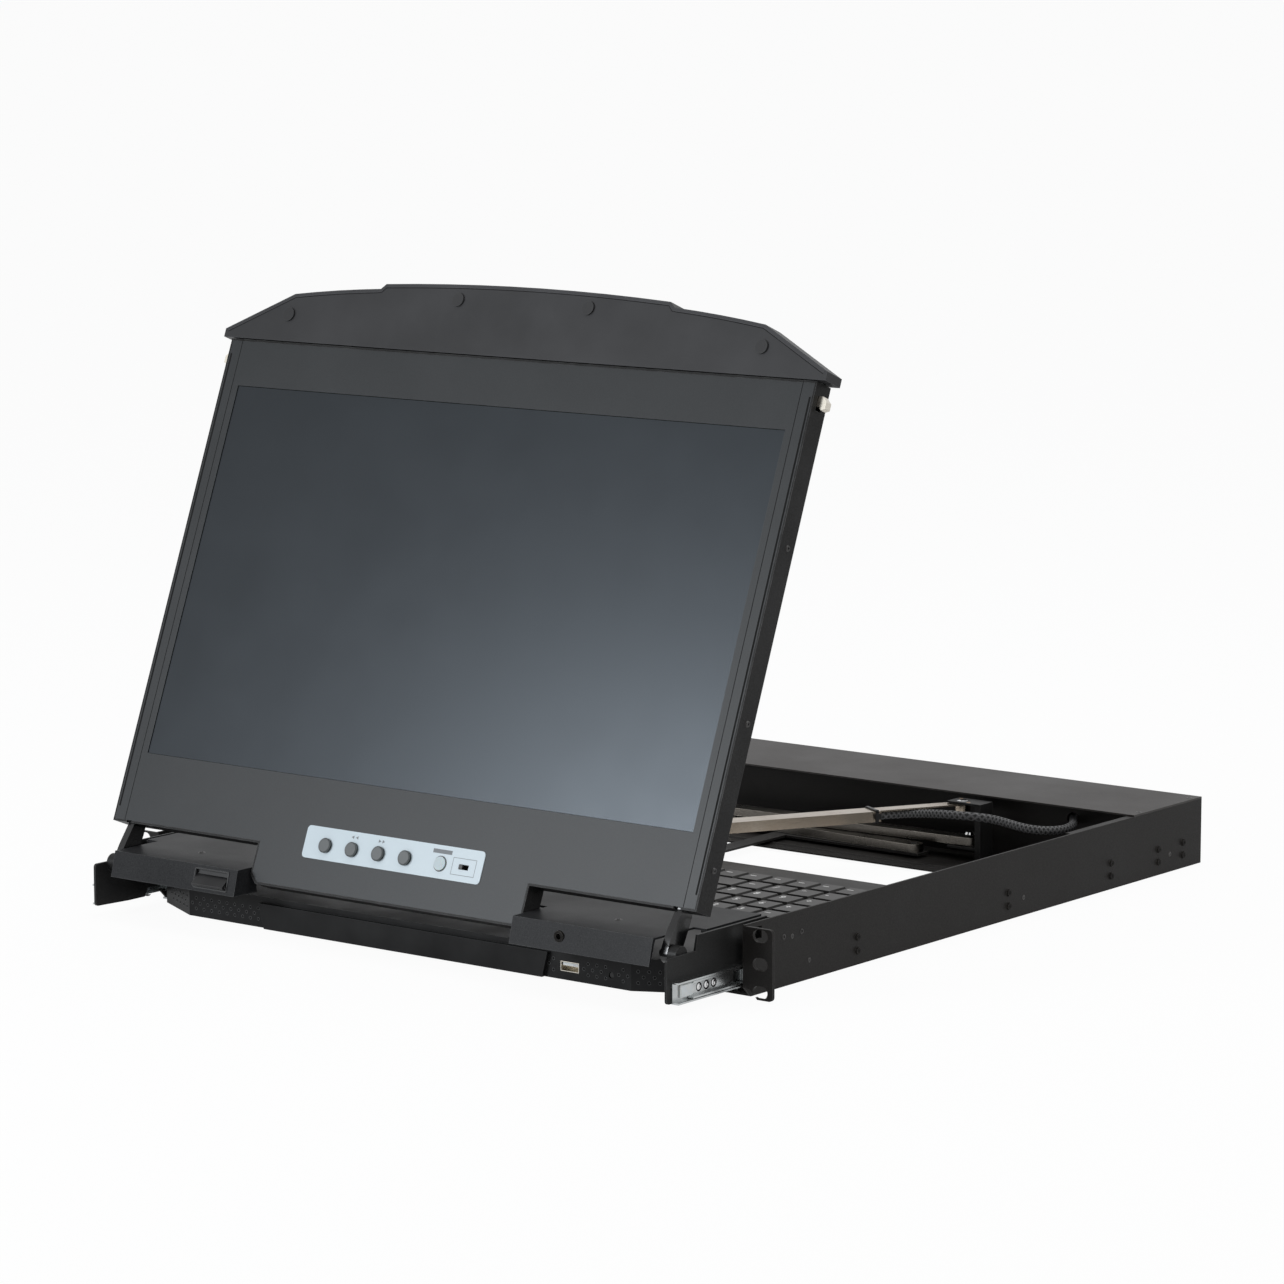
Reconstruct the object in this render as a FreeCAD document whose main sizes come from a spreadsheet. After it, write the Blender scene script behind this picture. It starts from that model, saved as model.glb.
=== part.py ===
"""Rackmount LCD console drawer, one rack unit high, as a parametric FreeCAD document.

Frame: X to the right as seen from the front, Y back into the rack, Z up, in millimetres.
The origin is the centre of the slot pattern in the rack ears' front faces. Sub-parts of
the chassis, carriage and keyboard are drawn with Z counted from the chassis bottom, and
those of the screen in the panel's own frame: Y back through the panel and Z up along it
from the hinge axis. Their Placement carries them into the part's frame.
"""
import FreeCAD, Part
import math
import os

import Sketcher
from FreeCAD import Placement, Rotation, Vector

SIZES = {
    # side walls and rack ears
    "wall_outer": 221.8,
    "wall_thick": 1.2,
    "wall_top": 41.3,
    "chassis_length": 484.0,
    "bottom_flange": 22.0,
    "top_flange": 5.0,
    "top_flange_length": 150.0,
    "ear_outer": 241.0,
    "ear_thick": 2.0,
    "ear_half_height": 20.2,
    "ear_cut": 6.0,
    "slot_x": 232.55,
    "slot_pitch": 15.875,
    "slot_length": 10.0,
    "slot_height": 7.0,
    "mid_height": 20.5,
    # rear box
    "floor_length": 134.0,
    "floor_thick": 1.2,
    "bead_width": 4.0,
    "bead_height": 1.0,
    "box_depth": 72.0,
    "cover_length": 80.0,
    "cover_thick": 1.0,
    "inlet_x": 150.0,
    "inlet_width": 27.0,
    "inlet_height": 19.6,
    "rocker_x": 116.0,
    "rocker_width": 13.0,
    "port_x": 20.0,
    "port_width": 60.0,
    "port_height": 12.0,
    "connector_z": 20.0,
    # running clearance between sliding and turning pieces
    "play": 0.3,
    # screen carriage
    "plate_outer": 215.2,
    "plate_thick": 1.5,
    "plate_bottom": 6.5,
    "plate_front": -62.0,
    "plate_rear": 30.0,
    "plate_step": 32.0,
    "deck_top": 41.0,
    "deck_thick": 1.2,
    "deck_half_width": 210.5,
    "deck_rear": 31.0,
    "deck_centre_front": -26.0,
    "wing_front": -57.0,
    "wing_inner": 103.5,
    "wing_outer": 202.0,
    "hinge_notch": -20.0,
    "apron_bottom": 25.8,
    "apron_lean": 4.0,
    "apron_thick": 1.2,
    "window_inner": 110.5,
    "window_width": 25.0,
    "window_bottom": 28.6,
    "window_top": 38.4,
    "screw_x": 138.0,
    "screw_z": 34.0,
    "screw_radius": 3.2,
    # screen slides
    "rail_bottom": 6.2,
    "rail_height": 12.3,
    "rail_sheet": 0.8,
    "rail_lip": 1.0,
    "rail_bar_thick": 3.2,
    "rail_front": -58.0,
    "rail_inner_length": 160.0,
    "rail_middle_front": -44.0,
    "rail_middle_length": 250.0,
    "rail_outer_front": 4.0,
    "rail_end_gap": 10.0,
    # screen hinge and panel, in the panel's own frame
    "hinge_y": -47.0,
    "hinge_z": 31.0,
    "lean_angle": 21.45,
    "panel_face": -3.0,
    "panel_back": 11.0,
    "panel_half_width": 219.0,
    "panel_bottom": 24.8,
    "panel_top": 327.3,
    "shell_thick": 1.2,
    "bezel_thick": 2.0,
    "tongue_half_width": 102.0,
    "tongue_bottom": 0.8,
    "tongue_corner": 5.0,
    "glass_width": 409.8,
    "glass_height": 230.4,
    "glass_bottom": 67.8,
    "glass_recess": 0.5,
    "module_depth": 7.0,
    "module_margin": 3.5,
    "arm_inner": 203.4,
    "arm_thick": 4.6,
    "eye_radius": 5.5,
    "pin_radius": 2.5,
    "label_half_width": 66.8,
    "label_bottom": 20.6,
    "label_top": 39.8,
    "label_thick": 0.4,
    "label_corner": 2.5,
    "button_z": 29.1,
    "button_width": 8.0,
    "button_height": 6.8,
    "button_first_x": -50.3,
    "button_pitch": 20.1,
    "power_x": 36.0,
    "power_radius": 4.0,
    "switch_x": 53.3,
    "switch_window": 7.0,
    "switch_slot": 3.0,
    "switch_knob": 2.6,
    # hood, its release bar and the side hooks
    "hood_bottom": 327.8,
    "hood_face": -4.0,
    "hood_tip_x": 225.0,
    "hood_tip_z": 333.0,
    "hood_shoulder_x": 176.0,
    "hood_shoulder_z": 357.5,
    "hood_step_x": 110.0,
    "hood_step_z": 364.0,
    "hood_lip_x": 106.5,
    "hood_lip_z": 367.2,
    "hood_crown": 1750.0,
    "bar_half_width": 89.5,
    "bar_bottom": 357.0,
    "bar_top": 368.2,
    "bar_front": 1.0,
    "bar_back": 7.0,
    "bar_travel": 3.0,
    "bumper_outer_x": 177.0,
    "bumper_outer_z": 344.4,
    "bumper_inner_x": 48.7,
    "bumper_inner_z": 360.2,
    "bumper_radius": 4.2,
    "bumper_height": 1.0,
    "hook_z": 312.0,
    "hook_height": 8.0,
    "hook_front": 1.5,
    "hook_depth": 5.0,
    "hook_reach": 6.0,
    "hook_tail": 10.0,
    # keyboard tray, deck and keys
    "tray_half_width": 203.0,
    "tray_front": -8.0,
    "tray_rear": 222.0,
    "tray_bottom": 3.0,
    "tray_top": 19.3,
    "tray_sheet": 1.2,
    "key_rear": 189.0,
    "key_row_pitch": 20.3,
    "key_field_width": 354.0,
    "key_gap": 1.6,
    "key_rise": 4.0,
    "key_skirt": 0.8,
    "key_draft": 1.3,
    "key_stem": 4.0,
    "stem_length": 9.0,
    "bed_top": 16.5,
    "bed_bottom": 8.0,
    "bed_wall": 3.0,
    "touchpad_half_width": 36.0,
    "touchpad_front": 11.0,
    "touchpad_rear": 55.0,
    "touchpad_thick": 1.3,
    "pad_button_front": -4.0,
    "pad_button_rear": 9.0,
    "pad_button_thick": 3.0,
    "pad_button_floor": 16.5,
    # front bezel of the keyboard with its sockets
    "bezel_bottom": 2.0,
    "bezel_wall": 2.0,
    "bezel_front": -31.0,
    "bezel_corner_x": 166.6,
    "bezel_end_y": -12.0,
    "bar_front_y": -33.5,
    "bar_half": 109.0,
    "bar_slant": 4.0,
    "bar_ledge": 17.0,
    "usb_x": 123.3,
    "usb_z": 9.8,
    "usb_width": 13.1,
    "usb_height": 5.7,
    "usb_length": 14.0,
    "usb_sheet": 0.4,
    "reset_x": 152.6,
    "reset_z": 9.0,
    "reset_radius": 1.5,
    "reset_length": 9.0,
    # keyboard slides
    "key_rail_bottom": 3.4,
    "key_rail_height": 10.0,
    "key_rail_front": -10.0,
    "key_rail_length": 230.0,
    "key_rail_middle_front": -4.0,
    "key_rail_middle_length": 230.0,
    "key_rail_outer_front": 4.0,
    "key_rail_outer_length": 250.0,
    # folding cable arms
    "post_x": 116.0,
    "post_thick": 4.0,
    "post_inset": 98.0,
    "post_length": 14.0,
    "tab_thick": 1.2,
    "tab_reach": 21.0,
    "upper_pivot_x": 102.0,
    "upper_pivot_inset": 91.0,
    "upper_elbow_x": -10.0,
    "upper_bottom": 31.4,
    "upper_height": 6.8,
    "upper_width": 14.0,
    "neck_length": 60.0,
    "carriage_pivot_y": 5.0,
    "bracket_half": 7.0,
    "front_link_bottom": 25.0,
    "front_link_height": 4.6,
    "lower_pivot_x": 106.0,
    "lower_pivot_inset": 88.0,
    "lower_elbow_x": -95.0,
    "lower_elbow_inset": 96.0,
    "tray_pivot_x": 74.0,
    "tray_pivot_inset": 104.0,
    "lower_rear_bottom": 11.6,
    "lower_front_bottom": 6.0,
    "lower_height": 5.0,
    "lower_width": 12.0,
    "link_sheet": 1.0,
    "pivot_radius": 2.0,
    "pivot_play": 0.15,
    "strap_x": -34.0,
    "strap_width": 12.0,
    "strap_thick": 1.5,
    "sleeve_radius": 2.7,
    "sleeve_hole_x": 172.0,
    "sleeve_hole_z": 33.0,
}

doc = FreeCAD.newDocument("console_drawer")
sheet = doc.addObject("Spreadsheet::Sheet", "dims")
for row, (alias, number) in enumerate(SIZES.items(), start=1):
    sheet.set(f"A{row}", alias)
    sheet.set(f"B{row}", str(number))
    sheet.setAlias(f"B{row}", alias)
doc.recompute()


class Size:
    """A number together with the sheet formula that it comes from."""

    def __init__(self, number, formula):
        self.number = number
        self.formula = formula

    def __float__(self):
        return float(self.number)

    def __add__(self, other):
        other = as_size(other)
        return Size(self.number + other.number, f"({self.formula} + {other.formula})")

    def __sub__(self, other):
        other = as_size(other)
        return Size(self.number - other.number, f"({self.formula} - {other.formula})")

    def __mul__(self, other):
        other = as_size(other)
        return Size(self.number * other.number, f"({self.formula} * {other.formula})")

    def __truediv__(self, other):
        other = as_size(other)
        return Size(self.number / other.number, f"({self.formula} / {other.formula})")

    def __radd__(self, other):
        return as_size(other) + self

    def __rsub__(self, other):
        return as_size(other) - self

    def __rmul__(self, other):
        return as_size(other) * self

    def __neg__(self):
        return Size(-self.number, f"(-1 * {self.formula})")


def as_size(value):
    """Wrap a plain number so that it can stand in a formula."""
    if isinstance(value, Size):
        return value
    return Size(value, repr(float(value)))


class Sheet:
    """Reads a driving size from the sheet by its alias."""

    def __getattr__(self, alias):
        return Size(float(sheet.get(alias)), f"dims.{alias}")


dim = Sheet()
SUBPARTS = []
XY, XZ, YZ = "XY_Plane", "XZ_Plane", "YZ_Plane"


def bind(thing, prop, value):
    """Tie one property to its formula on the sheet."""
    value = as_size(value)
    thing.setExpression(prop, value.formula)


# ---------------------------------------------------------------- sketches

def fix_point(sketch, geometry, position, point, tag):
    """Hold one sketch point at its two coordinates."""
    for kind, value in (("DistanceX", point[0]), ("DistanceY", point[1])):
        index = sketch.addConstraint(
            Sketcher.Constraint(kind, -1, 1, geometry, position, float(value)))
        name = f"{kind}_{tag}"
        sketch.renameConstraint(index, name)
        bind(sketch, f"Constraints.{name}", value)


def fix_radius(sketch, geometry, radius, tag):
    """Hold the radius of one circle or arc."""
    index = sketch.addConstraint(Sketcher.Constraint("Radius", geometry, float(radius)))
    sketch.renameConstraint(index, f"radius_{tag}")
    bind(sketch, f"Constraints.radius_{tag}", radius)


def arc_between(start, end, radius):
    """Counter-clockwise arc of less than half a turn from start to end."""
    middle = (start + end) * 0.5
    chord = end - start
    rise = math.sqrt(radius * radius - chord.Length ** 2 / 4)
    centre = middle + Vector(-chord.y, chord.x, 0).normalize() * rise
    first = math.atan2(start.y - centre.y, start.x - centre.x)
    last = math.atan2(end.y - centre.y, end.x - centre.x)
    if last < first:
        last += 2 * math.pi
    return Part.ArcOfCircle(Part.Circle(centre, Vector(0, 0, 1), radius), first, last)


def polygon(*points, arcs=None):
    """Closed counter-clockwise outline; arcs maps an edge's number to its outward radius."""
    arcs = arcs or {}

    def draw(sketch):
        places = [Vector(float(x), float(y), 0) for x, y in points]
        count = len(places)
        base = sketch.GeometryCount
        for i in range(count):
            start, end = places[i], places[(i + 1) % count]
            if i in arcs:
                sketch.addGeometry(arc_between(start, end, float(arcs[i])), False)
            else:
                sketch.addGeometry(Part.LineSegment(start, end), False)
        for i in range(count):
            following = base + (i + 1) % count
            sketch.addConstraint(Sketcher.Constraint("Coincident", base + i, 2, following, 1))
            fix_point(sketch, base + i, 1, points[i], base + i)
        for i, radius in arcs.items():
            fix_radius(sketch, base + i, radius, base + i)
    return draw


def rectangle(x, y):
    """Upright rectangle between two pairs of limits."""
    return polygon((x[0], y[0]), (x[1], y[0]), (x[1], y[1]), (x[0], y[1]))


def circle(x, y, radius):
    """Round outline about a centre."""
    def draw(sketch):
        place = Vector(float(x), float(y), 0)
        geometry = sketch.addGeometry(Part.Circle(place, Vector(0, 0, 1), float(radius)), False)
        fix_point(sketch, geometry, 3, (x, y), geometry)
        fix_radius(sketch, geometry, radius, geometry)
    return draw


def slot(x, y, length, height):
    """Level slot with round ends, of the given overall length."""
    radius = height / 2
    reach = (length - height) / 2

    def draw(sketch):
        up = Vector(0, 0, 1)
        left = Vector(float(x - reach), float(y), 0)
        right = Vector(float(x + reach), float(y), 0)
        drop = Vector(0, float(radius), 0)
        quarter = math.pi / 2
        ends = [(left, quarter, 3 * quarter), (right, -quarter, quarter)]
        arc_left, arc_right = [
            sketch.addGeometry(
                Part.ArcOfCircle(Part.Circle(centre, up, float(radius)), first, last), False)
            for centre, first, last in ends]
        bottom = sketch.addGeometry(Part.LineSegment(left - drop, right - drop), False)
        top = sketch.addGeometry(Part.LineSegment(right + drop, left + drop), False)
        chain = [arc_left, bottom, arc_right, top]
        for here, following in zip(chain, chain[1:] + chain[:1]):
            sketch.addConstraint(Sketcher.Constraint("Tangent", here, 2, following, 1))
        sketch.addConstraint(Sketcher.Constraint("Equal", arc_left, arc_right))
        fix_point(sketch, arc_left, 3, (x - reach, y), arc_left)
        fix_point(sketch, arc_right, 3, (x + reach, y), arc_right)
        fix_radius(sketch, arc_left, radius, arc_left)
    return draw


# ---------------------------------------------------------------- bodies

def new_body(label):
    """Empty body for one sub-part."""
    return doc.addObject("PartDesign::Body", label)


def sketch_on(body, plane, start, outlines):
    """Sketch on one of the body's planes, moved along its normal."""
    sketch = body.newObject("Sketcher::SketchObject", f"{body.Name}_outline")
    planes = [f for f in body.Origin.OriginFeatures if f.Role == plane]
    sketch.AttachmentSupport = [(planes[0], "")]
    sketch.MapMode = "FlatFace"
    side = -1 if plane == XZ else 1
    bind(sketch, "AttachmentOffset.Base.z", start * side)
    for draw in outlines:
        draw(sketch)
    return sketch


def pad(body, plane, limits, *outlines):
    """Material between two limits along the plane's axis."""
    start, end = as_size(limits[0]), as_size(limits[1])
    feature = body.newObject("PartDesign::Pad", f"{body.Name}_pad")
    feature.Profile = sketch_on(body, plane, start, outlines)
    bind(feature, "Length", end - start)
    feature.Reversed = plane == XZ
    return feature


def pocket(body, plane, limits, *outlines):
    """Material removed between two limits along the plane's axis."""
    start, end = as_size(limits[0]), as_size(limits[1])
    feature = body.newObject("PartDesign::Pocket", f"{body.Name}_pocket")
    feature.Profile = sketch_on(body, plane, start, outlines)
    bind(feature, "Length", end - start)
    feature.Reversed = plane != XZ
    return feature


def fillet(body, base, radius, wanted):
    """Round the edges of a feature that the test picks."""
    doc.recompute()
    names = [f"Edge{i}" for i, edge in enumerate(base.Shape.Edges, start=1) if wanted(edge)]
    feature = body.newObject("PartDesign::Fillet", f"{body.Name}_fillet")
    feature.Base = (base, names)
    bind(feature, "Radius", radius)
    return feature


def along(axis, edge):
    """True for a straight edge parallel to an axis."""
    if not isinstance(edge.Curve, Part.Line):
        return False
    return abs(edge.tangentAt(edge.FirstParameter).dot(axis)) > 0.999


# ---------------------------------------------------------------- primitives

def box(x, y, z):
    """Block between three pairs of limits."""
    block = doc.addObject("Part::Box", "block")
    for side, start, (low, high) in zip(("Length", "Width", "Height"), "xyz", (x, y, z)):
        low, high = as_size(low), as_size(high)
        bind(block, side, high - low)
        bind(block, f"Placement.Base.{start}", low)
    return block


AXES = {"x": Rotation(Vector(0, 1, 0), 90), "y": Rotation(Vector(1, 0, 0), -90), "z": Rotation()}


def stand(bar, axis, base, length):
    """A straight bar, set along one axis from a base point."""
    bar.Placement = Placement(Vector(), AXES[axis])
    bind(bar, "Height", length)
    for start, value in zip("xyz", base):
        bind(bar, f"Placement.Base.{start}", value)
    return bar


def rod(axis, base, radius, length):
    """Round bar from a base point along one axis."""
    bar = doc.addObject("Part::Cylinder", "rod")
    bind(bar, "Radius", radius)
    return stand(bar, axis, base, length)


def stud(axis, base, radius, length, sides=12):
    """Many-sided bar for the small heads and posts that repeat."""
    bar = doc.addObject("Part::Prism", "stud")
    bar.Polygon = sides
    bind(bar, "Circumradius", radius)
    return stand(bar, axis, base, length)


def fuse(*shapes):
    """One solid from touching shapes."""
    joined = doc.addObject("Part::MultiFuse", "fuse")
    joined.Shapes = list(shapes)
    joined.Refine = True
    return joined


def cut(base, tool):
    """Base less the tool."""
    less = doc.addObject("Part::Cut", "cut")
    less.Base = base
    less.Tool = tool
    less.Refine = True
    return less


def group(*shapes):
    """Separate solids of one sub-part."""
    together = doc.addObject("Part::Compound", "group")
    together.Links = list(shapes)
    return together


def mirrored(shape):
    """The left-hand twin of a right-hand shape."""
    twin = doc.addObject("Part::Mirroring", "twin")
    twin.Source = shape
    twin.Normal = Vector(1, 0, 0)
    return twin


def pair(shape):
    """A right-hand shape and its left-hand twin in one sub-part."""
    return group(shape, mirrored(shape))


def channel(x_web, x_lips, y, z, lip):
    """C-section rail lying along Y: a web and two lips that point outward along X."""
    web = box(x_web, y, z)
    low = box(x_lips, y, (z[0], z[0] + lip))
    high = box(x_lips, y, (z[1] - lip, z[1]))
    return fuse(web, low, high)


# ---------------------------------------------------------------- placements

def in_chassis(thing, label):
    """Place a sub-part whose Z is counted from the chassis bottom."""
    thing.Label = label
    bind(thing, "Placement.Base.z", -dim.mid_height)
    SUBPARTS.append(thing)
    return thing


def in_panel(thing, label):
    """Place a sub-part that is drawn in the screen panel's frame."""
    thing.Label = label
    thing.Placement = Placement(Vector(), Rotation(Vector(-1, 0, 0), float(dim.lean_angle)))
    bind(thing, "Placement.Base.y", dim.hinge_y)
    bind(thing, "Placement.Base.z", dim.hinge_z - dim.mid_height)
    bind(thing, "Placement.Rotation.Angle", dim.lean_angle)
    SUBPARTS.append(thing)
    return thing


def distance(start, end):
    """Plan distance between two points."""
    across, back = end[0] - start[0], end[1] - start[1]
    return Size(math.hypot(float(across), float(back)), f"hypot({across.formula}; {back.formula})")


def heading(start, end):
    """Angle of the line between two points, from X toward Y."""
    across, back = end[0] - start[0], end[1] - start[1]
    angle = math.degrees(math.atan2(float(back), float(across)))
    return Size(angle, f"atan2({back.formula}; {across.formula})")


def twin_of(thing, label):
    """Left-hand twin of a sub-part that is already placed."""
    twin = mirrored(thing)
    twin.Label = label
    SUBPARTS.append(twin)
    return twin


def write_parts():
    """Check every object of the document, then write each sub-part."""
    doc.recompute()
    for thing in doc.Objects:
        if "Invalid" in thing.State or "Error" in thing.State:
            raise RuntimeError(f"{thing.Label} did not build: {thing.State}")
    os.makedirs("parts", exist_ok=True)
    for thing in SUBPARTS:
        shape = thing.Shape
        if shape.isNull() or not shape.isValid() or not shape.Solids:
            raise RuntimeError(f"{thing.Label} has no valid shape")
        shape.exportStep(f"parts/{thing.Label}.step")


# ================================================================ chassis

wall_inner = dim.wall_outer - dim.wall_thick
floor_front = dim.chassis_length - dim.floor_length
bulkhead_y = dim.chassis_length - dim.box_depth
cover_front = dim.chassis_length - dim.cover_length
fixed_pivot = (dim.upper_pivot_x, dim.chassis_length - dim.upper_pivot_inset)
lower_pivot = (dim.lower_pivot_x, dim.chassis_length - dim.lower_pivot_inset)
lower_elbow = (dim.lower_elbow_x, dim.chassis_length - dim.lower_elbow_inset)
tray_pivot = (dim.tray_pivot_x, dim.chassis_length - dim.tray_pivot_inset)
slots = [dim.mid_height + step * dim.slot_pitch for step in (-1, 0, 1)]


def side_wall():
    """Side wall with its floor and roof flanges and the bent-out rack ear."""
    wall = new_body("side_wall_right")
    low = dim.mid_height - dim.ear_half_height
    high = dim.mid_height + dim.ear_half_height
    pad(wall, YZ, (wall_inner, dim.wall_outer), polygon(
        (0, dim.ear_cut), (dim.ear_cut, 0), (dim.chassis_length, 0),
        (dim.chassis_length, dim.wall_top), (0, dim.wall_top)))
    pad(wall, XY, (0, dim.wall_thick), rectangle(
        (dim.wall_outer - dim.bottom_flange, dim.wall_outer), (dim.ear_cut, dim.chassis_length)))
    pad(wall, XY, (dim.wall_top - dim.cover_thick, dim.wall_top), rectangle(
        (dim.wall_outer - dim.top_flange, dim.wall_outer),
        (dim.chassis_length - dim.top_flange_length, dim.chassis_length)))
    ear = pad(wall, XZ, (0, dim.ear_thick), polygon(
        (wall_inner, dim.ear_cut), (wall_inner + 5, low + 5), (wall_inner + 10, low),
        (dim.ear_outer, low), (dim.ear_outer, high), (wall_inner, high)))
    fillet(wall, ear, 2.5, lambda edge: along(Vector(0, 1, 0), edge)
           and edge.CenterOfMass.x > float(dim.ear_outer) - 0.01)
    for height in slots:
        pocket(wall, XZ, (0, dim.ear_thick),
               slot(dim.slot_x, height, dim.slot_length, dim.slot_height))
    hook_low = dim.hinge_z + dim.hook_front - 1
    pocket(wall, YZ, (wall_inner, dim.wall_outer), rectangle(
        (dim.ear_thick + 1, dim.ear_thick + 14), (hook_low, hook_low + dim.hook_depth + 2)))
    return wall


twin_of(in_chassis(side_wall(), "side_wall_right"), "side_wall_left")


def rear_floor():
    """Floor of the rear box, with a stiffening bead and the bulkhead folded up from it."""
    plate = new_body("rear_floor")
    low = dim.wall_thick
    high = low + dim.floor_thick
    edge = wall_inner - 0.1
    rear = dim.chassis_length - dim.wall_thick
    bead = floor_front + 2 * dim.bead_width
    pad(plate, XY, (low, high), rectangle((-edge, edge), (floor_front, rear)))
    pad(plate, YZ, (-edge + 12, edge - 12), polygon(
        (bead, high), (bead + dim.bead_width, high), (bead + dim.bead_width - 1, high + dim.bead_height),
        (bead + 1, high + dim.bead_height)))
    roof = dim.wall_top - dim.cover_thick
    inner = dim.plate_outer - dim.play
    pad(plate, XZ, (bulkhead_y, bulkhead_y + dim.floor_thick),
        rectangle((-inner, inner), (low, roof)))
    pocket(plate, XZ, (bulkhead_y, bulkhead_y + dim.floor_thick),
           circle(dim.sleeve_hole_x, dim.sleeve_hole_z, dim.sleeve_radius + 1.5))
    return plate


in_chassis(rear_floor(), "rear_floor")


def rear_panel():
    """Back wall with the cut-outs for the inlet, the power switch and the port block."""
    panel = new_body("rear_panel")
    rear = dim.chassis_length
    front = rear - dim.wall_thick
    centre = dim.connector_z
    edge = wall_inner - 0.1
    pad(panel, XZ, (front, rear), rectangle((-edge, edge), (dim.wall_thick, dim.wall_top - dim.cover_thick)))
    for x, width, height in (
            (dim.inlet_x, dim.inlet_width, dim.inlet_height),
            (dim.rocker_x, dim.rocker_width, dim.inlet_height),
            (dim.port_x, dim.port_width, dim.port_height)):
        pocket(panel, XZ, (front, rear), rectangle(
            (x - width / 2, x + width / 2), (centre - height / 2, centre + height / 2)))
    return panel


in_chassis(rear_panel(), "rear_panel")
in_chassis(group(box((-dim.wall_outer, dim.wall_outer), (cover_front, dim.chassis_length),
                     (dim.wall_top, dim.wall_top + dim.cover_thick))), "rear_cover")


def inlet_socket():
    """Three-pin mains inlet: a flanged body with an open recess and three blades."""
    socket = new_body("inlet_socket")
    rear = dim.chassis_length
    x, z = dim.inlet_x, dim.connector_z
    wide, tall = dim.inlet_width / 2, dim.inlet_height / 2
    pad(socket, XZ, (rear, rear + 2.5), rectangle(
        (x - wide - 3, x + wide + 3), (z - tall - 2, z + tall + 2)))
    pad(socket, XZ, (rear - 24, rear), rectangle(
        (x - wide + 0.2, x + wide - 0.2), (z - tall + 0.2, z + tall - 0.2)))
    pocket(socket, XZ, (rear - 15, rear + 2.5), rectangle(
        (x - wide + 2, x + wide - 2), (z - tall + 2, z + tall - 2)))
    for step, height in ((-7, -2), (7, -2), (0, 2)):
        pad(socket, XZ, (rear - 15, rear - 3), rectangle(
            (x + step - 1, x + step + 1), (z + height - 2, z + height + 2)))
    return socket


def port_block():
    """Console port block: one metal-faced body with three open sockets."""
    block = new_body("port_block")
    rear = dim.chassis_length
    x, z = dim.port_x, dim.connector_z
    wide, tall = dim.port_width / 2, dim.port_height / 2
    pad(block, XZ, (rear - 18, rear + 0.8), rectangle(
        (x - wide + 0.2, x + wide - 0.2), (z - tall + 0.2, z + tall - 0.2)))
    for step, half in ((-20, 7.6), (1, 7.0), (20, 7.0)):
        pocket(block, XZ, (rear - 11, rear + 0.8), rectangle(
            (x + step - half, x + step + half), (z - tall + 2.6, z + tall - 2.6)))
    return block


in_chassis(inlet_socket(), "inlet_socket")
in_chassis(port_block(), "port_block")


def rocker_switch():
    """Power rocker, a shallow V that tips about its middle."""
    rocker = new_body("rocker_switch")
    rear = dim.chassis_length
    x, z = dim.rocker_x, dim.connector_z
    wide = dim.rocker_width / 2 - dim.play
    tall = dim.inlet_height / 2 - 1.2
    pad(rocker, YZ, (x - wide, x + wide), polygon(
        (rear - 6, z - 4), (rear + 0.6, z - tall), (rear + 1.2, z), (rear + 2.6, z + tall),
        (rear - 6, z + 4)))
    return rocker


in_chassis(rocker_switch(), "rocker_switch")


def main_board():
    """Controller board on four posts, with its power supply and shielded converter."""
    front = bulkhead_y + dim.floor_thick + 5
    floor = dim.wall_thick + dim.floor_thick
    board = box((-140, 95), (front, dim.chassis_length - 26), (floor + 5, floor + 6.6))
    supply = box((-130, -50), (front + 3, dim.chassis_length - 29), (floor + 6.6, floor + 30))
    shield = box((-20, 60), (front + 3, front + 33), (floor + 6.6, floor + 12))
    posts = [stud("z", (x, y, floor), 2.5, 5, 6) for x in (-134, 89) for y in (front + 5, front + 34)]
    return fuse(board, supply, shield, *posts)


in_chassis(main_board(), "main_board")

# the screen slide is nested: carriage channel, middle channel, then the bar on the wall
rail_z = (dim.rail_bottom, dim.rail_bottom + dim.rail_height)
rail_web = dim.plate_outer + dim.rail_sheet
rail_mid_web = rail_web + dim.play
rail_bar = wall_inner - dim.rail_bar_thick
rail_mid_z = (rail_z[0] + dim.rail_lip + dim.play, rail_z[1] - dim.rail_lip - dim.play)
rail_bar_z = (rail_mid_z[0] + dim.rail_lip + dim.play, rail_mid_z[1] - dim.rail_lip - dim.play)


def run(front, length):
    """Limits along Y of a rail."""
    return (front, front + length)


def screen_rail_outer():
    """Fixed bar of the screen slide, riveted to the wall."""
    reach = (dim.rail_outer_front, dim.chassis_length - dim.rail_end_gap)
    return box((rail_bar, wall_inner), reach, rail_bar_z)


def screen_rail_middle():
    """Middle channel of the screen slide, between the carriage channel and the bar."""
    return channel((rail_mid_web, rail_mid_web + dim.rail_sheet), (rail_mid_web, wall_inner - 0.8),
                   run(dim.rail_middle_front, dim.rail_middle_length), rail_mid_z, dim.rail_lip)


def screen_rail_inner():
    """Channel of the screen slide, riveted to the carriage side and open outward."""
    return channel((dim.plate_outer, rail_web), (dim.plate_outer, wall_inner - 0.4),
                   run(dim.rail_front, dim.rail_inner_length), rail_z, dim.rail_lip)


in_chassis(pair(screen_rail_outer()), "screen_rail_outer")
in_chassis(pair(screen_rail_middle()), "screen_rail_middle")
in_chassis(pair(screen_rail_inner()), "screen_rail_inner")

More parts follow.
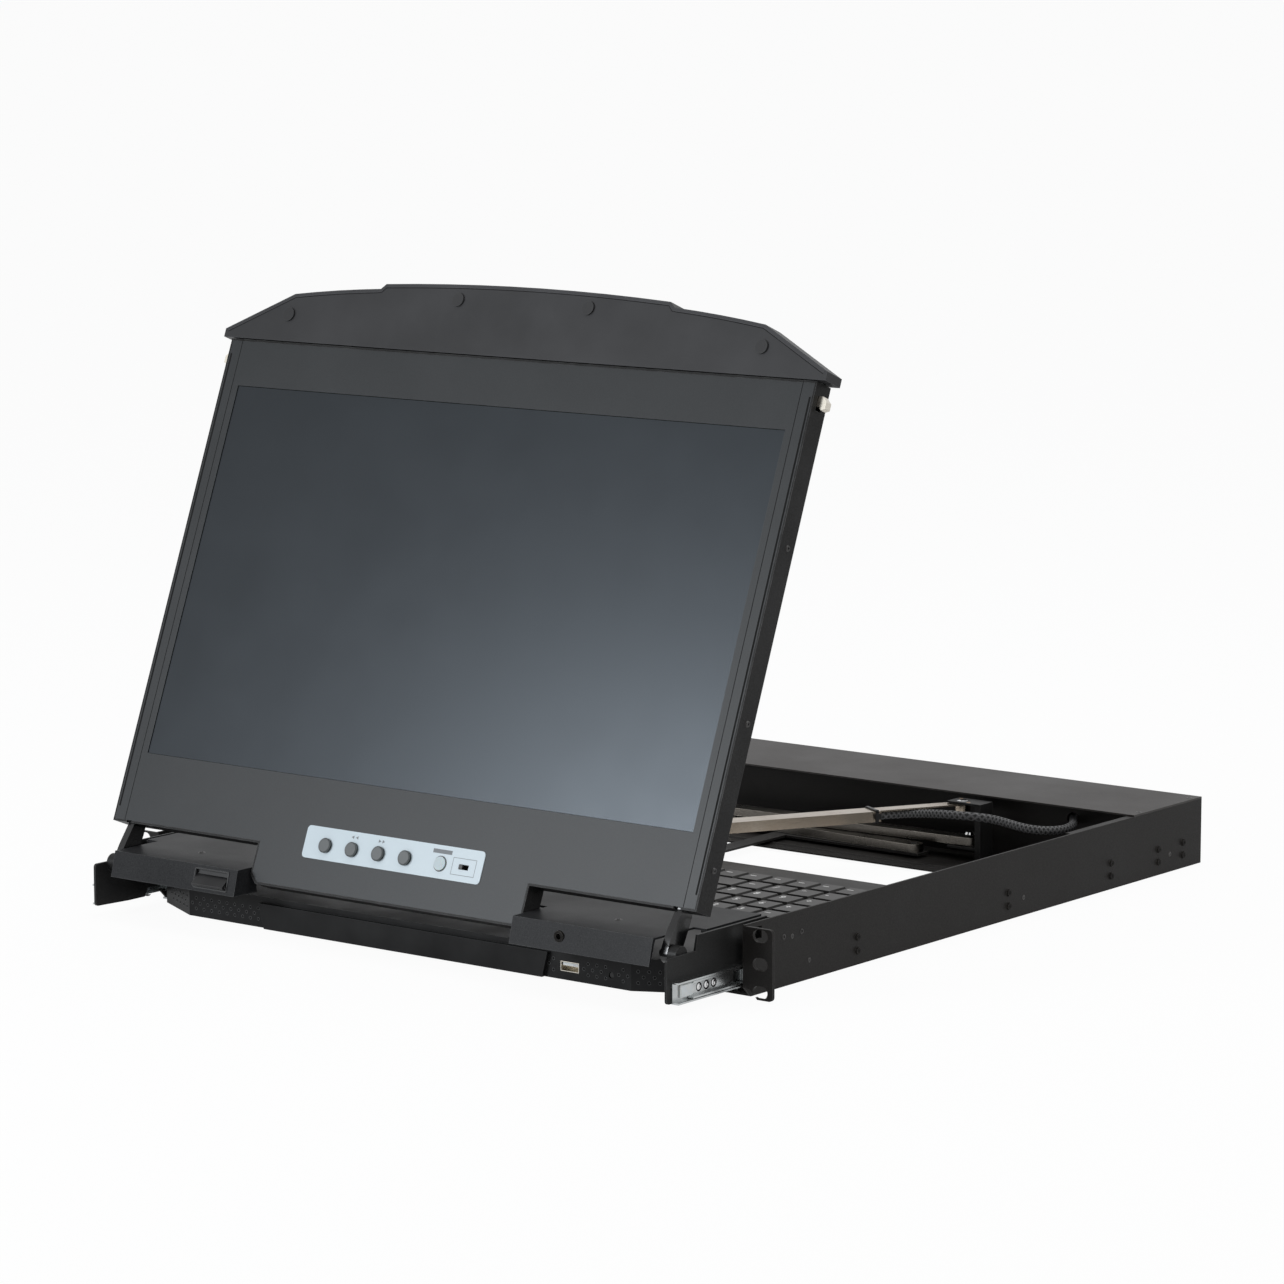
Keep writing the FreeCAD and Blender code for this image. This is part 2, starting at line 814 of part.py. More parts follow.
# the keyboard slide is nested the same way, against a bracket on the floor flange
key_rail_z = (dim.key_rail_bottom, dim.key_rail_bottom + dim.key_rail_height)
key_web = dim.tray_half_width + dim.rail_sheet
key_mid_web = key_web + dim.play
key_bar = key_mid_web + dim.rail_sheet + dim.play
key_bar_end = key_bar + 3.4
key_mid_z = (key_rail_z[0] + dim.rail_lip + dim.play, key_rail_z[1] - dim.rail_lip - dim.play)
key_bar_z = (key_mid_z[0] + dim.rail_lip + dim.play, key_mid_z[1] - dim.rail_lip - dim.play)


def key_rail_outer():
    """Fixed bar of the keyboard slide on its angle bracket, which stands on the flange."""
    reach = run(dim.key_rail_outer_front + dim.ear_cut, dim.key_rail_outer_length)
    bar = box((key_bar, key_bar_end), reach, key_bar_z)
    upright = box((key_bar_end, key_bar_end + dim.wall_thick), reach, (dim.wall_thick, key_rail_z[1]))
    foot = box((dim.wall_outer - dim.bottom_flange + 1, key_bar_end + dim.wall_thick), reach,
               (dim.wall_thick, 2 * dim.wall_thick))
    return fuse(bar, upright, foot)


def key_rail_middle():
    """Middle channel of the keyboard slide."""
    return channel((key_mid_web, key_mid_web + dim.rail_sheet), (key_mid_web, key_bar_end - 1),
                   run(dim.key_rail_middle_front, dim.key_rail_middle_length), key_mid_z, dim.rail_lip)


def key_rail_inner():
    """Channel of the keyboard slide, riveted to the tray side and open outward."""
    return channel((dim.tray_half_width, key_web), (dim.tray_half_width, key_bar_end - 0.6),
                   run(dim.key_rail_front, dim.key_rail_length), key_rail_z, dim.rail_lip)


in_chassis(pair(key_rail_outer()), "keyboard_rail_outer")
in_chassis(pair(key_rail_middle()), "keyboard_rail_middle")
in_chassis(pair(key_rail_inner()), "keyboard_rail_inner")


def chassis_screws():
    """Rivets of the fixed rails on the wall faces and the cover's countersunk screws."""
    heads = []
    rear_rivets = [dim.chassis_length - inset for inset in (106, 51, 22)]
    for y in (108, 264, *rear_rivets):
        for z in (rail_z[0] + 2.1, rail_z[1] - 2.1):
            heads.append(stud("x", (dim.wall_outer, y, z), 2, 0.7))
    for y in (cover_front + 10, dim.chassis_length - 10):
        heads.append(stud("z", (dim.wall_outer - 3, y, dim.wall_top + dim.cover_thick), 2, 0.5))
    return pair(group(*heads))


in_chassis(chassis_screws(), "chassis_screws")

# ================================================================ carriage

deck_under = dim.deck_top - dim.deck_thick
plate_inner = dim.plate_outer - dim.plate_thick


def carriage_side():
    """Carriage side plate with its stepped nose, deck ledge and hinge barrel."""
    side = new_body("carriage_side_right")
    top = dim.deck_top - 0.2
    nose = polygon(
        (dim.plate_front, dim.plate_bottom), (dim.plate_front + 28, dim.plate_bottom - 1),
        (dim.plate_front + 42, dim.plate_bottom - 1), (dim.plate_front + 45, dim.plate_bottom + 4),
        (dim.plate_rear, dim.plate_bottom + 4), (dim.plate_rear, top),
        (dim.plate_front + 28, top), (dim.plate_front + 26, dim.plate_step),
        (dim.plate_front, dim.plate_step))
    first = pad(side, YZ, (plate_inner, dim.plate_outer), nose)
    fillet(side, first, 2, lambda edge: along(Vector(1, 0, 0), edge)
           and edge.CenterOfMass.y < float(dim.plate_front) + 0.01)
    pad(side, XY, (deck_under - dim.plate_thick, deck_under), rectangle(
        (dim.wing_outer + 4, plate_inner), (dim.hinge_notch + 1, dim.plate_rear)))
    arm_outer = dim.arm_inner + dim.arm_thick
    pad(side, YZ, (arm_outer + dim.play, plate_inner), circle(dim.hinge_y, dim.hinge_z, dim.eye_radius))
    pad(side, YZ, (dim.arm_inner - 3.2, arm_outer + dim.play), circle(
        dim.hinge_y, dim.hinge_z, dim.pin_radius))
    return side


twin_of(in_chassis(carriage_side(), "carriage_side_right"), "carriage_side_left")


def carriage_deck():
    """Folded deck that ties the two sides, with a turned-down apron on each wing."""
    deck = new_body("carriage_deck")
    centre, inner, outer = dim.deck_centre_front, dim.wing_inner, dim.wing_outer
    front, rear, edge = dim.wing_front, dim.deck_rear, dim.deck_half_width
    corner = dim.hinge_notch
    pad(deck, XY, (deck_under, dim.deck_top), polygon(
        (-inner, centre), (inner, centre), (inner, front), (outer, front), (outer, corner),
        (edge, corner), (edge, rear), (-edge, rear), (-edge, corner), (-outer, corner),
        (-outer, front), (-inner, front)))
    lean = front - dim.apron_lean
    thick = dim.apron_thick
    for sign in (1, -1):
        limits = (inner, outer) if sign > 0 else (-outer, -inner)
        pad(deck, YZ, limits, polygon(
            (lean, dim.apron_bottom), (lean + thick, dim.apron_bottom),
            (front + thick + 0.6, deck_under), (front + thick + 0.6, dim.deck_top), (front, dim.deck_top)))
    pad(deck, YZ, (-inner - thick, -inner), polygon(
        (lean, dim.apron_bottom), (front + 16, dim.apron_bottom), (front + 16, dim.deck_top),
        (front, dim.deck_top)))
    far = -dim.window_inner - dim.window_width
    pocket(deck, XZ, (lean - 1, front + 4), rectangle(
        (far, -dim.window_inner), (dim.window_bottom, dim.window_top)))
    pocket(deck, XZ, (lean - 1, front + 4), circle(dim.screw_x, dim.screw_z, dim.screw_radius + 0.1))
    return deck


in_chassis(carriage_deck(), "carriage_deck")


def wing_screw():
    """Socket screw in the right wing's apron."""
    middle = dim.wing_front - dim.apron_lean / 2
    barrel = rod("y", (dim.screw_x, middle - 0.8, dim.screw_z), dim.screw_radius, 7)
    recess = rod("y", (dim.screw_x, middle - 0.9, dim.screw_z), dim.screw_radius - 1.4, 2.5)
    return cut(barrel, recess)


in_chassis(wing_screw(), "wing_screw")


def latch_tab():
    """Latch paddle that hangs in the left wing's window and tips on its upper edge."""
    tab = new_body("latch_tab")
    top = dim.window_top - 1.6
    y = dim.wing_front + 1.4
    far = -dim.window_inner - dim.window_width + 0.4
    pad(tab, YZ, (far, -dim.window_inner - 0.4), polygon(
        (y - 1.2, top - 1.2), (y - 7.5, top - 6.2), (y - 7.0, top - 7.4), (y + 1.2, top - 2.6),
        (y + 1.2, top + 1.2), (y - 0.4, top + 1.2)))
    return tab


in_chassis(latch_tab(), "latch_tab")

# ================================================================ screen

opening = (dim.glass_bottom, dim.glass_bottom + dim.glass_height)
glass_half = dim.glass_width / 2


def panel_outline(inset, top):
    """Panel outline with the tongue between the wings, drawn inward by the inset."""
    half = dim.panel_half_width - inset
    tongue = dim.tongue_half_width - inset
    low = dim.tongue_bottom + inset
    shoulder = dim.panel_bottom + inset
    corner = dim.tongue_corner
    return polygon(
        (-tongue, low + corner), (-tongue + corner, low), (tongue - corner, low), (tongue, low + corner),
        (tongue, shoulder), (half, shoulder), (half, top - inset), (-half, top - inset),
        (-half, shoulder), (-tongue, shoulder))


def back_cover():
    """Folded back cover of the screen: a flat pan that follows the notched outline."""
    shell = new_body("screen_back_cover")
    thick = dim.shell_thick
    pad(shell, XZ, (dim.panel_face, dim.panel_back), panel_outline(as_size(0), dim.panel_top))
    pocket(shell, XZ, (dim.panel_face, dim.panel_back - thick), panel_outline(thick, dim.panel_top))
    window = ((dim.hook_front - dim.play, dim.hook_front + dim.hook_depth + dim.play),
              (dim.hook_z - dim.play, dim.hook_z + dim.hook_height + dim.play))
    for low in (-dim.panel_half_width, dim.panel_half_width - thick):
        pocket(shell, YZ, (low, low + thick), rectangle(*window))
    for sign in (1, -1):
        middle = sign * (dim.arm_inner + dim.arm_thick / 2)
        half = dim.arm_thick / 2 + 0.2
        pocket(shell, XZ, (dim.panel_face, dim.panel_back - thick), rectangle(
            (middle - half, middle + half), (dim.panel_bottom, dim.panel_bottom + thick)))
    return shell


in_panel(back_cover(), "screen_back_cover")


def bezel():
    """Front bezel inside the cover's rim, with the glass opening and the control holes."""
    frame = new_body("screen_bezel")
    face = dim.panel_face
    inset = dim.shell_thick + 0.1
    pad(frame, XZ, (face, face + dim.bezel_thick), panel_outline(inset, dim.panel_top))
    limits = (face, face + dim.bezel_thick)
    pocket(frame, XZ, limits, rectangle((-glass_half, glass_half), opening))
    for number in range(4):
        middle = dim.button_first_x + number * dim.button_pitch
        half = dim.button_width / 2 + 0.3
        tall = dim.button_height / 2 + 0.3
        pocket(frame, XZ, limits, rectangle(
            (middle - half, middle + half), (dim.button_z - tall, dim.button_z + tall)))
    pocket(frame, XZ, limits, circle(dim.power_x, dim.button_z, dim.power_radius + 0.3))
    pocket(frame, XZ, limits, rectangle(
        (dim.switch_x - dim.switch_window / 2, dim.switch_x + dim.switch_window / 2),
        (dim.button_z - dim.switch_slot / 2, dim.button_z + dim.switch_slot / 2)))
    return frame


in_panel(bezel(), "screen_bezel")


def control_label():
    """Thin control label with rounded corners, pierced for the keys and the switch."""
    label = new_body("control_label")
    limits = (dim.panel_face - dim.label_thick, dim.panel_face)
    half, low, high = dim.label_half_width, dim.label_bottom, dim.label_top
    r = dim.label_corner
    pad(label, XZ, limits, polygon(
        (-half + r, low), (half - r, low), (half, low + r), (half, high - r), (half - r, high),
        (-half + r, high), (-half, high - r), (-half, low + r), arcs={1: r, 3: r, 5: r, 7: r}))
    for number in range(4):
        middle = dim.button_first_x + number * dim.button_pitch
        wide, tall = dim.button_width / 2 + 0.3, dim.button_height / 2 + 0.3
        pocket(label, XZ, limits, rectangle(
            (middle - wide, middle + wide), (dim.button_z - tall, dim.button_z + tall)))
    pocket(label, XZ, limits, circle(dim.power_x, dim.button_z, dim.power_radius + 0.3))
    pocket(label, XZ, limits, rectangle(
        (dim.switch_x - dim.switch_window / 2, dim.switch_x + dim.switch_window / 2),
        (dim.button_z - dim.switch_slot / 2, dim.button_z + dim.switch_slot / 2)))
    return label


in_panel(control_label(), "control_label")


def display_panel():
    """Display module: its steel frame behind the bezel and the glass in the opening."""
    face = dim.panel_face + dim.glass_recess
    behind = dim.panel_face + dim.bezel_thick + 0.1
    gap = dim.play
    glass = box((-glass_half + gap, glass_half - gap), (face, behind),
                (opening[0] + gap, opening[1] - gap))
    reach = glass_half + dim.module_margin
    module = box((-reach, reach), (behind, behind + dim.module_depth),
                 (opening[0] - dim.module_margin, opening[1] + dim.module_margin))
    rear = behind + dim.module_depth
    pads = [box((x - 8, x + 8), (rear, dim.panel_back - dim.shell_thick), (z - 8, z + 8))
            for x in (-150, 150) for z in (110, 256)]
    return fuse(glass, module, *pads)


in_panel(display_panel(), "display_panel")

button_back = dim.panel_face + dim.bezel_thick + 2


def control_button(middle):
    """Rounded control key with its collar behind the bezel."""
    button = new_body("control_button")
    wide, tall = dim.button_width / 2, dim.button_height / 2
    r = 2.2
    face = dim.panel_face - dim.label_thick - 0.9
    z = dim.button_z
    pad(button, XZ, (face, button_back), polygon(
        (middle - wide + r, z - tall), (middle + wide - r, z - tall), (middle + wide, z - tall + r),
        (middle + wide, z + tall - r), (middle + wide - r, z + tall), (middle - wide + r, z + tall),
        (middle - wide, z + tall - r), (middle - wide, z - tall + r), arcs={1: r, 3: r, 5: r, 7: r}))
    collar = dim.panel_face + dim.bezel_thick + dim.play
    pad(button, XZ, (collar, button_back), rectangle(
        (middle - wide - 1, middle + wide + 1), (z - tall - 1, z + tall + 1)))
    return button


for number in range(4):
    in_panel(control_button(dim.button_first_x + number * dim.button_pitch), f"control_button_{number + 1}")


def power_button():
    """Round power key with its collar behind the bezel."""
    face = dim.panel_face - dim.label_thick - 0.9
    key = rod("y", (dim.power_x, face, dim.button_z), dim.power_radius, button_back - face)
    collar = rod("y", (dim.power_x, dim.panel_face + dim.bezel_thick + dim.play, dim.button_z),
                 dim.power_radius + 1, 2 - dim.play)
    return fuse(key, collar)


in_panel(power_button(), "power_button")


def mode_switch():
    """Slide switch knob in its level window, on a carrier behind the bezel."""
    z = dim.button_z
    half, tall = dim.switch_knob / 2, dim.switch_slot / 2 - dim.play
    left = dim.switch_x - dim.switch_window / 2 + dim.play
    face = dim.panel_face - dim.label_thick - 0.6
    knob = box((left, left + dim.switch_knob), (face, button_back), (z - tall, z + tall))
    carrier = box((left - 1, left + dim.switch_knob + 1),
                  (dim.panel_face + dim.bezel_thick + dim.play, button_back), (z - tall - 1, z + tall + 1))
    return fuse(knob, carrier)


in_panel(mode_switch(), "mode_switch")


def hinge_arm():
    """J-shaped hinge arm: up from the hinge pin, forward round the deck and into the panel."""
    arm = new_body("hinge_arm")
    limits = (dim.arm_inner, dim.arm_inner + dim.arm_thick)
    r = dim.eye_radius
    pad(arm, YZ, limits, polygon(
        (r * 0.3, -r * 0.95), (r * 0.9, -r * 0.4), (7.6, 5.2), (9.4, 20), (9.4, 52), (-0.7, 52), (-0.7, 25),
        (-4.2, 12), (-r, 3), (-r, -1), (-r * 0.55, -r * 0.8),
        arcs={0: 9, 7: 40, 9: 6, 10: 7}))
    pocket(arm, YZ, limits, circle(0, 0, dim.pin_radius + 0.15))
    return arm


in_panel(pair(hinge_arm()), "hinge_arms")


def hood():
    """Arched hood over the panel's top edge, hollowed for the release bar."""
    cap = new_body("hood")
    low = dim.hood_bottom
    tip_x, tip_z = dim.hood_tip_x, dim.hood_tip_z
    arch = [(tip_x, tip_z), (dim.hood_shoulder_x, dim.hood_shoulder_z), (dim.hood_step_x, dim.hood_step_z),
            (dim.hood_lip_x, dim.hood_lip_z)]
    left = [(-x, z) for x, z in reversed(arch)]
    outline = [(-tip_x, low), (tip_x, low), *arch, *left]
    limits = (dim.hood_face, dim.panel_back)
    pad(cap, XZ, limits, polygon(*outline, arcs={3: 900, 5: dim.hood_crown, 7: 900}))
    inner = dim.bar_half_width + dim.play
    floor = dim.bar_bottom - dim.bar_travel - 1
    pocket(cap, XZ, (dim.bar_front - dim.play, dim.bar_back + dim.play),
           rectangle((-inner, inner), (floor, dim.bar_top + 10)))
    pocket(cap, XZ, (dim.bar_back + 1.5, dim.panel_back), rectangle((-60, 60), (low + 4, low + 14)))
    return cap


in_panel(hood(), "hood")


def release_bar():
    """Release bar in the hood's crown; pressing it draws the side hooks in."""
    bar = new_body("release_bar")
    half = dim.bar_half_width
    pad(bar, XZ, (dim.bar_front, dim.bar_back), polygon(
        (-half, dim.bar_bottom), (half, dim.bar_bottom), (half, dim.bar_top), (-half, dim.bar_top),
        arcs={2: dim.hood_crown}))
    return bar


in_panel(release_bar(), "release_bar")


def hood_bumpers():
    """Four low rubber bumpers on the hood's face."""
    spots = [(sign * x, z) for x, z in ((dim.bumper_outer_x, dim.bumper_outer_z),
                                        (dim.bumper_inner_x, dim.bumper_inner_z)) for sign in (1, -1)]
    return group(*[rod("y", (x, dim.hood_face - dim.bumper_height, z), dim.bumper_radius, dim.bumper_height)
                   for x, z in spots])


in_panel(hood_bumpers(), "hood_bumpers")


def side_hook():
    """Side hook near the panel's top, through a slot in the cover's rim."""
    hook = new_body("hook_right")
    front = dim.hook_front
    low = dim.hook_z
    wall = dim.panel_half_width
    reach = wall + dim.hook_reach
    tail = wall - dim.hook_tail
    high = low + dim.hook_height
    pad(hook, XZ, (front, front + dim.hook_depth), polygon(
        (tail, low + 2), (wall + 2, low + 2), (wall + 3.2, low), (reach, low + 1), (reach, low + 5),
        (wall + 3, high), (tail, high)))
    return hook


twin_of(in_panel(side_hook(), "hook_right"), "hook_left")


def screen_screws():
    """Side screws of the screen, three in each rim."""
    heads = [stud("x", (dim.panel_half_width, 5, z), 1.8, 0.6) for z in (49.5, 132.6, 233)]
    return pair(group(*heads))


in_panel(screen_screws(), "screen_screws")

# ================================================================ keyboard

deck_plate_top = dim.tray_top + dim.tray_sheet
field_half = dim.key_field_width / 2
field_front = dim.key_rear - dim.key_row_pitch * 6
key_base = deck_plate_top - dim.key_skirt
KEY_ROWS = [
    [1] * 20,
    [1] * 13 + [2] + [1] * 4,
    [1.5] + [1] * 12 + [1.5] + [1] * 4,
    [1.75] + [1] * 11 + [2.25] + [1] * 4,
    [2.25] + [1] * 10 + [1.75] + [1] * 5,
    [1.25] * 3 + [5.25] + [1] * 6 + [2, 1, 1],
]


def keys_of(row):
    """Middle and width of each key of one row, in millimetres."""
    unit = float(dim.key_field_width) / sum(KEY_ROWS[row])
    left = -float(field_half)
    keys = []
    for share in KEY_ROWS[row]:
        width = share * unit
        keys.append((left + width / 2, width))
        left += width
    return keys


def row_middle(row):
    """Middle of one row of keys along Y."""
    return float(dim.key_rear - dim.key_row_pitch * (row + 0.5))


def level_rectangle(x, y, z, half_x, half_y):
    """Closed wire of an upright rectangle at one height."""
    corners = [Vector(x + sx * half_x, y + sy * half_y, z)
               for sx, sy in ((-1, -1), (1, -1), (1, 1), (-1, 1))]
    return Part.makePolygon(corners + corners[:1])


def stem_block(x, y, half, low, high):
    """Square stem about a vertical axis."""
    return Part.makeBox(2 * half, 2 * half, high - low, Vector(x - half, y - half, low))


def key_row(row):
    """One row of tapered key caps, each lofted and standing on its own stem."""
    base, top = float(key_base), float(deck_plate_top + dim.key_rise)
    gap, draft = float(dim.key_gap) / 2, float(dim.key_draft)
    y, depth = row_middle(row), float(dim.key_row_pitch) / 2 - gap
    caps = []
    for x, width in keys_of(row):
        half = width / 2 - gap
        wires = [level_rectangle(x, y, base, half, depth),
                 level_rectangle(x, y, top, half - draft, depth - draft)]
        stem = stem_block(x, y, float(dim.key_stem) / 2, base - float(dim.stem_length), base)
        caps.append(Part.makeLoft(wires, True).fuse(stem))
    keys = doc.addObject("Part::Feature", f"key_row_{row + 1}")
    keys.Shape = Part.makeCompound(caps)
    return keys


def stem_holes():
    """Square guide holes for all the key stems."""
    half = float(dim.key_stem) / 2 + float(dim.play)
    holes = [stem_block(x, row_middle(row), half, float(dim.bed_bottom) - 1, float(dim.bed_top) + 1)
             for row in range(len(KEY_ROWS)) for x, width in keys_of(row)]
    tool = doc.addObject("Part::Feature", "stem_holes")
    tool.Shape = Part.makeCompound(holes)
    return tool


for row in range(len(KEY_ROWS)):
    in_chassis(key_row(row), f"key_row_{row + 1}")


def keyboard_tray():
    """Folded tray with the strap at its rear that carries the lower cable arm."""
    tray = new_body("keyboard_tray")
    half, front, rear = dim.tray_half_width, dim.tray_front, dim.tray_rear
    floor = dim.tray_bottom + dim.tray_sheet
    pad(tray, XY, (dim.tray_bottom, floor), rectangle((-half, half), (front, rear)))
    for low in (-half, half - dim.tray_sheet):
        pad(tray, YZ, (low, low + dim.tray_sheet), rectangle((front, rear), (dim.tray_bottom, dim.tray_top)))
    pad(tray, XZ, (rear - dim.tray_sheet, rear), rectangle((-half, half), (dim.tray_bottom, dim.tray_top)))
    left, right = dim.strap_x, dim.strap_x + dim.strap_width
    end = tray_pivot[0] + dim.lower_width / 2 + 1
    low, high = tray_pivot[1] - dim.lower_width / 2, tray_pivot[1] + dim.lower_width / 2
    pad(tray, XY, (floor, floor + dim.strap_thick), polygon(
        (left, rear - 20), (right, rear - 20), (right, low), (end, low), (end, high), (left, high)))
    pad(tray, XY, (floor, dim.lower_front_bottom + dim.lower_height),
        circle(*tray_pivot, dim.pivot_radius))
    return tray


in_chassis(keyboard_tray(), "keyboard_tray")


def keyboard_deck():
    """Top plate with the sunk key bed and the wells of the touchpad and its buttons."""
    deck = new_body("keyboard_plate")
    half, wall = dim.tray_half_width, dim.bed_wall
    top = deck_plate_top
    pad(deck, XY, (dim.tray_top, top), rectangle((-half, half), (dim.tray_front, dim.tray_rear)))
    reach = field_half + dim.play
    back, front = dim.key_rear + dim.play, field_front - dim.play
    pad(deck, XY, (dim.bed_bottom, dim.tray_top), rectangle(
        (-reach - wall, reach + wall), (front - wall, back + wall)))
    pocket(deck, XY, (dim.bed_top, top), rectangle((-reach, reach), (front, back)))
    side = dim.touchpad_half_width + dim.play
    pad(deck, XY, (dim.pad_button_floor - wall / 2, dim.tray_top), rectangle(
        (-side - wall, side + wall), (dim.tray_front + 1, dim.touchpad_rear + wall)))
    pocket(deck, XY, (top - dim.touchpad_thick - 0.2, top), rectangle(
        (-side, side), (dim.touchpad_front - dim.play, dim.touchpad_rear + dim.play)))
    pocket(deck, XY, (dim.pad_button_floor, top), rectangle(
        (-side, side), (dim.pad_button_front - dim.play, dim.pad_button_rear + dim.play)))
    return cut(deck, stem_holes())


in_chassis(keyboard_deck(), "keyboard_deck")


def touchpad_button(x):
    """Click bar below the touchpad, between two limits along X."""
    return group(box(x, (dim.pad_button_front, dim.pad_button_rear),
                     (deck_plate_top - dim.pad_button_thick, deck_plate_top)))


in_chassis(group(box((-dim.touchpad_half_width, dim.touchpad_half_width),
                     (dim.touchpad_front, dim.touchpad_rear),
                     (deck_plate_top - dim.touchpad_thick - 0.2, deck_plate_top - 0.2))), "touchpad")
in_chassis(touchpad_button((-dim.touchpad_half_width, -dim.play)), "touchpad_button_left")
in_chassis(touchpad_button((dim.play, dim.touchpad_half_width)), "touchpad_button_right")


def front_bezel():
    """Moulded front of the keyboard: a hollow nose with a proud bar between two grilles."""
    nose = new_body("front_bezel")
    half, corner, front = dim.tray_half_width, dim.bezel_corner_x, dim.bezel_front
    wall, low = dim.bezel_wall, dim.bezel_bottom
    rear = dim.tray_front
    pad(nose, XY, (low, deck_plate_top), polygon(
        (-half, dim.bezel_end_y), (-corner, front), (corner, front), (half, dim.bezel_end_y),
        (half, rear), (-half, rear)))
    pocket(nose, XZ, (front + wall, rear), rectangle(
        (-corner, corner), (low + wall, deck_plate_top - wall)))
    bar = dim.bar_half
    foot = bar - dim.bar_slant
    pad(nose, XZ, (dim.bar_front_y, front), polygon(
        (-foot, low), (foot, low), (bar, dim.bar_ledge), (-bar, dim.bar_ledge)))
    wide, tall = dim.usb_width / 2 + dim.play, dim.usb_height / 2 + dim.play
    pocket(nose, XZ, (front, front + wall), rectangle(
        (dim.usb_x - wide, dim.usb_x + wide), (dim.usb_z - tall, dim.usb_z + tall)))
    pocket(nose, XZ, (front, front + wall), circle(dim.reset_x, dim.reset_z, dim.reset_radius + dim.play))
    return nose


in_chassis(front_bezel(), "front_bezel")


def usb_port():
    """USB type A socket: a thin metal shell with its contact tongue."""
    port = new_body("usb_port")
    wide, tall, skin = dim.usb_width / 2, dim.usb_height / 2, dim.usb_sheet
    front = dim.bezel_front - 0.2
    end = front + dim.usb_length
    x, z = dim.usb_x, dim.usb_z
    pad(port, XZ, (front, end), rectangle((x - wide, x + wide), (z - tall, z + tall)))
    pocket(port, XZ, (front, end - 2), rectangle(
        (x - wide + skin, x + wide - skin), (z - tall + skin, z + tall - skin)))
    pad(port, XZ, (front + 1.5, end - 1), rectangle(
        (x - wide + 1, x + wide - 1), (z + 0.1, z + 1.9)))
    return port


in_chassis(usb_port(), "usb_port")
in_chassis(group(rod("y", (dim.reset_x, dim.bezel_front + 0.6, dim.reset_z), dim.reset_radius,
                     dim.reset_length)), "reset_button")

# ================================================================ folding cable arms

carriage_pivot = (dim.upper_pivot_x, dim.carriage_pivot_y)
upper_elbow = (dim.upper_elbow_x, (fixed_pivot[1] + dim.carriage_pivot_y) / 2)
post_front = dim.chassis_length - dim.post_inset


def arm_anchor():
    """Post on the rear floor whose tabs hold the fixed ends of both folding arms."""
    anchor = new_body("arm_anchor")
    floor = dim.wall_thick + dim.floor_thick
    x, thick, tab = dim.post_x, dim.post_thick, dim.tab_thick
    y = (post_front, post_front + dim.post_length)
    top = dim.upper_bottom + dim.upper_height + dim.play + tab
    pad(anchor, YZ, (x, x + thick), rectangle(y, (floor, top)))
    pad(anchor, XY, (floor, floor + tab), rectangle((x, x + 4 * thick), y))
    for low in (dim.upper_bottom - dim.play - tab, top - tab, dim.lower_rear_bottom - dim.play - tab):
        pad(anchor, XY, (low, low + tab), rectangle((x - dim.tab_reach, x), y))
    pad(anchor, XY, (dim.upper_bottom - dim.play, top - tab), circle(*fixed_pivot, dim.pivot_radius))
    pad(anchor, XY, (dim.lower_rear_bottom - dim.play, dim.lower_rear_bottom + dim.lower_height),
        circle(*lower_pivot, dim.pivot_radius))
    return anchor


in_chassis(arm_anchor(), "arm_anchor")


def carriage_arm_bracket():
    """Angle bracket under the deck, with the pin that pulls the upper arm."""
    bracket = new_body("carriage_arm_bracket")
    x, tab = dim.post_x, dim.tab_thick
    low = dim.front_link_bottom + dim.front_link_height + dim.play
    y = (dim.carriage_pivot_y - dim.bracket_half, dim.carriage_pivot_y + dim.bracket_half)
    pad(bracket, YZ, (x - 4, x - 1), rectangle(y, (low, deck_under)))
    pad(bracket, XY, (deck_under - tab, deck_under), rectangle((x - 4, x + 14), y))
    pad(bracket, XY, (low, low + tab), rectangle((x - dim.tab_reach, x - 4), y))
    pad(bracket, XY, (dim.front_link_bottom, low), circle(*carriage_pivot, dim.pivot_radius))
    return bracket


in_chassis(carriage_arm_bracket(), "carriage_arm_bracket")


def link(label, ends, bottom, width, height, neck):
    """Folding arm's link from its pivot to its elbow: a channel that is open below.

    The first stretch can be a neck, narrower and flat, which leaves the channel's end open.
    """
    arm = new_body(label)
    length = distance(*ends)
    skin = dim.link_sheet
    stem = width - 4 if float(neck) else width
    pad(arm, XY, (height - skin, height), slot(length / 2, 0, length + stem, stem))
    pad(arm, XY, (0, height), circle(0, 0, stem / 2))
    pad(arm, XY, (0, height), circle(length, 0, width / 2))
    pad(arm, XY, (0, height), rectangle((neck, length), (-width / 2, width / 2)))
    start = neck if float(neck) else width / 2
    pocket(arm, XY, (0, height - skin), rectangle(
        (start, length - width / 2), (skin - width / 2, width / 2 - skin)))
    for x in (0, length):
        pocket(arm, XY, (0, height), circle(x, 0, dim.pivot_radius + dim.pivot_play))
    in_chassis(arm, label)
    bind(arm, "Placement.Base.x", ends[0][0])
    bind(arm, "Placement.Base.y", ends[0][1])
    bind(arm, "Placement.Base.z", bottom - dim.mid_height)
    bind(arm, "Placement.Rotation.Angle", heading(*ends))
    return arm


link("upper_arm_rear", (fixed_pivot, upper_elbow), dim.upper_bottom, dim.upper_width,
     dim.upper_height, dim.neck_length)
link("upper_arm_front", (carriage_pivot, upper_elbow), dim.front_link_bottom, dim.upper_width,
     dim.front_link_height, as_size(0))
link("lower_arm_rear", (lower_pivot, lower_elbow), dim.lower_rear_bottom, dim.lower_width,
     dim.lower_height, as_size(0))
link("lower_arm_front", (tray_pivot, lower_elbow), dim.lower_front_bottom, dim.lower_width,
     dim.lower_height, as_size(0))

# ================================================================ cable sleeve

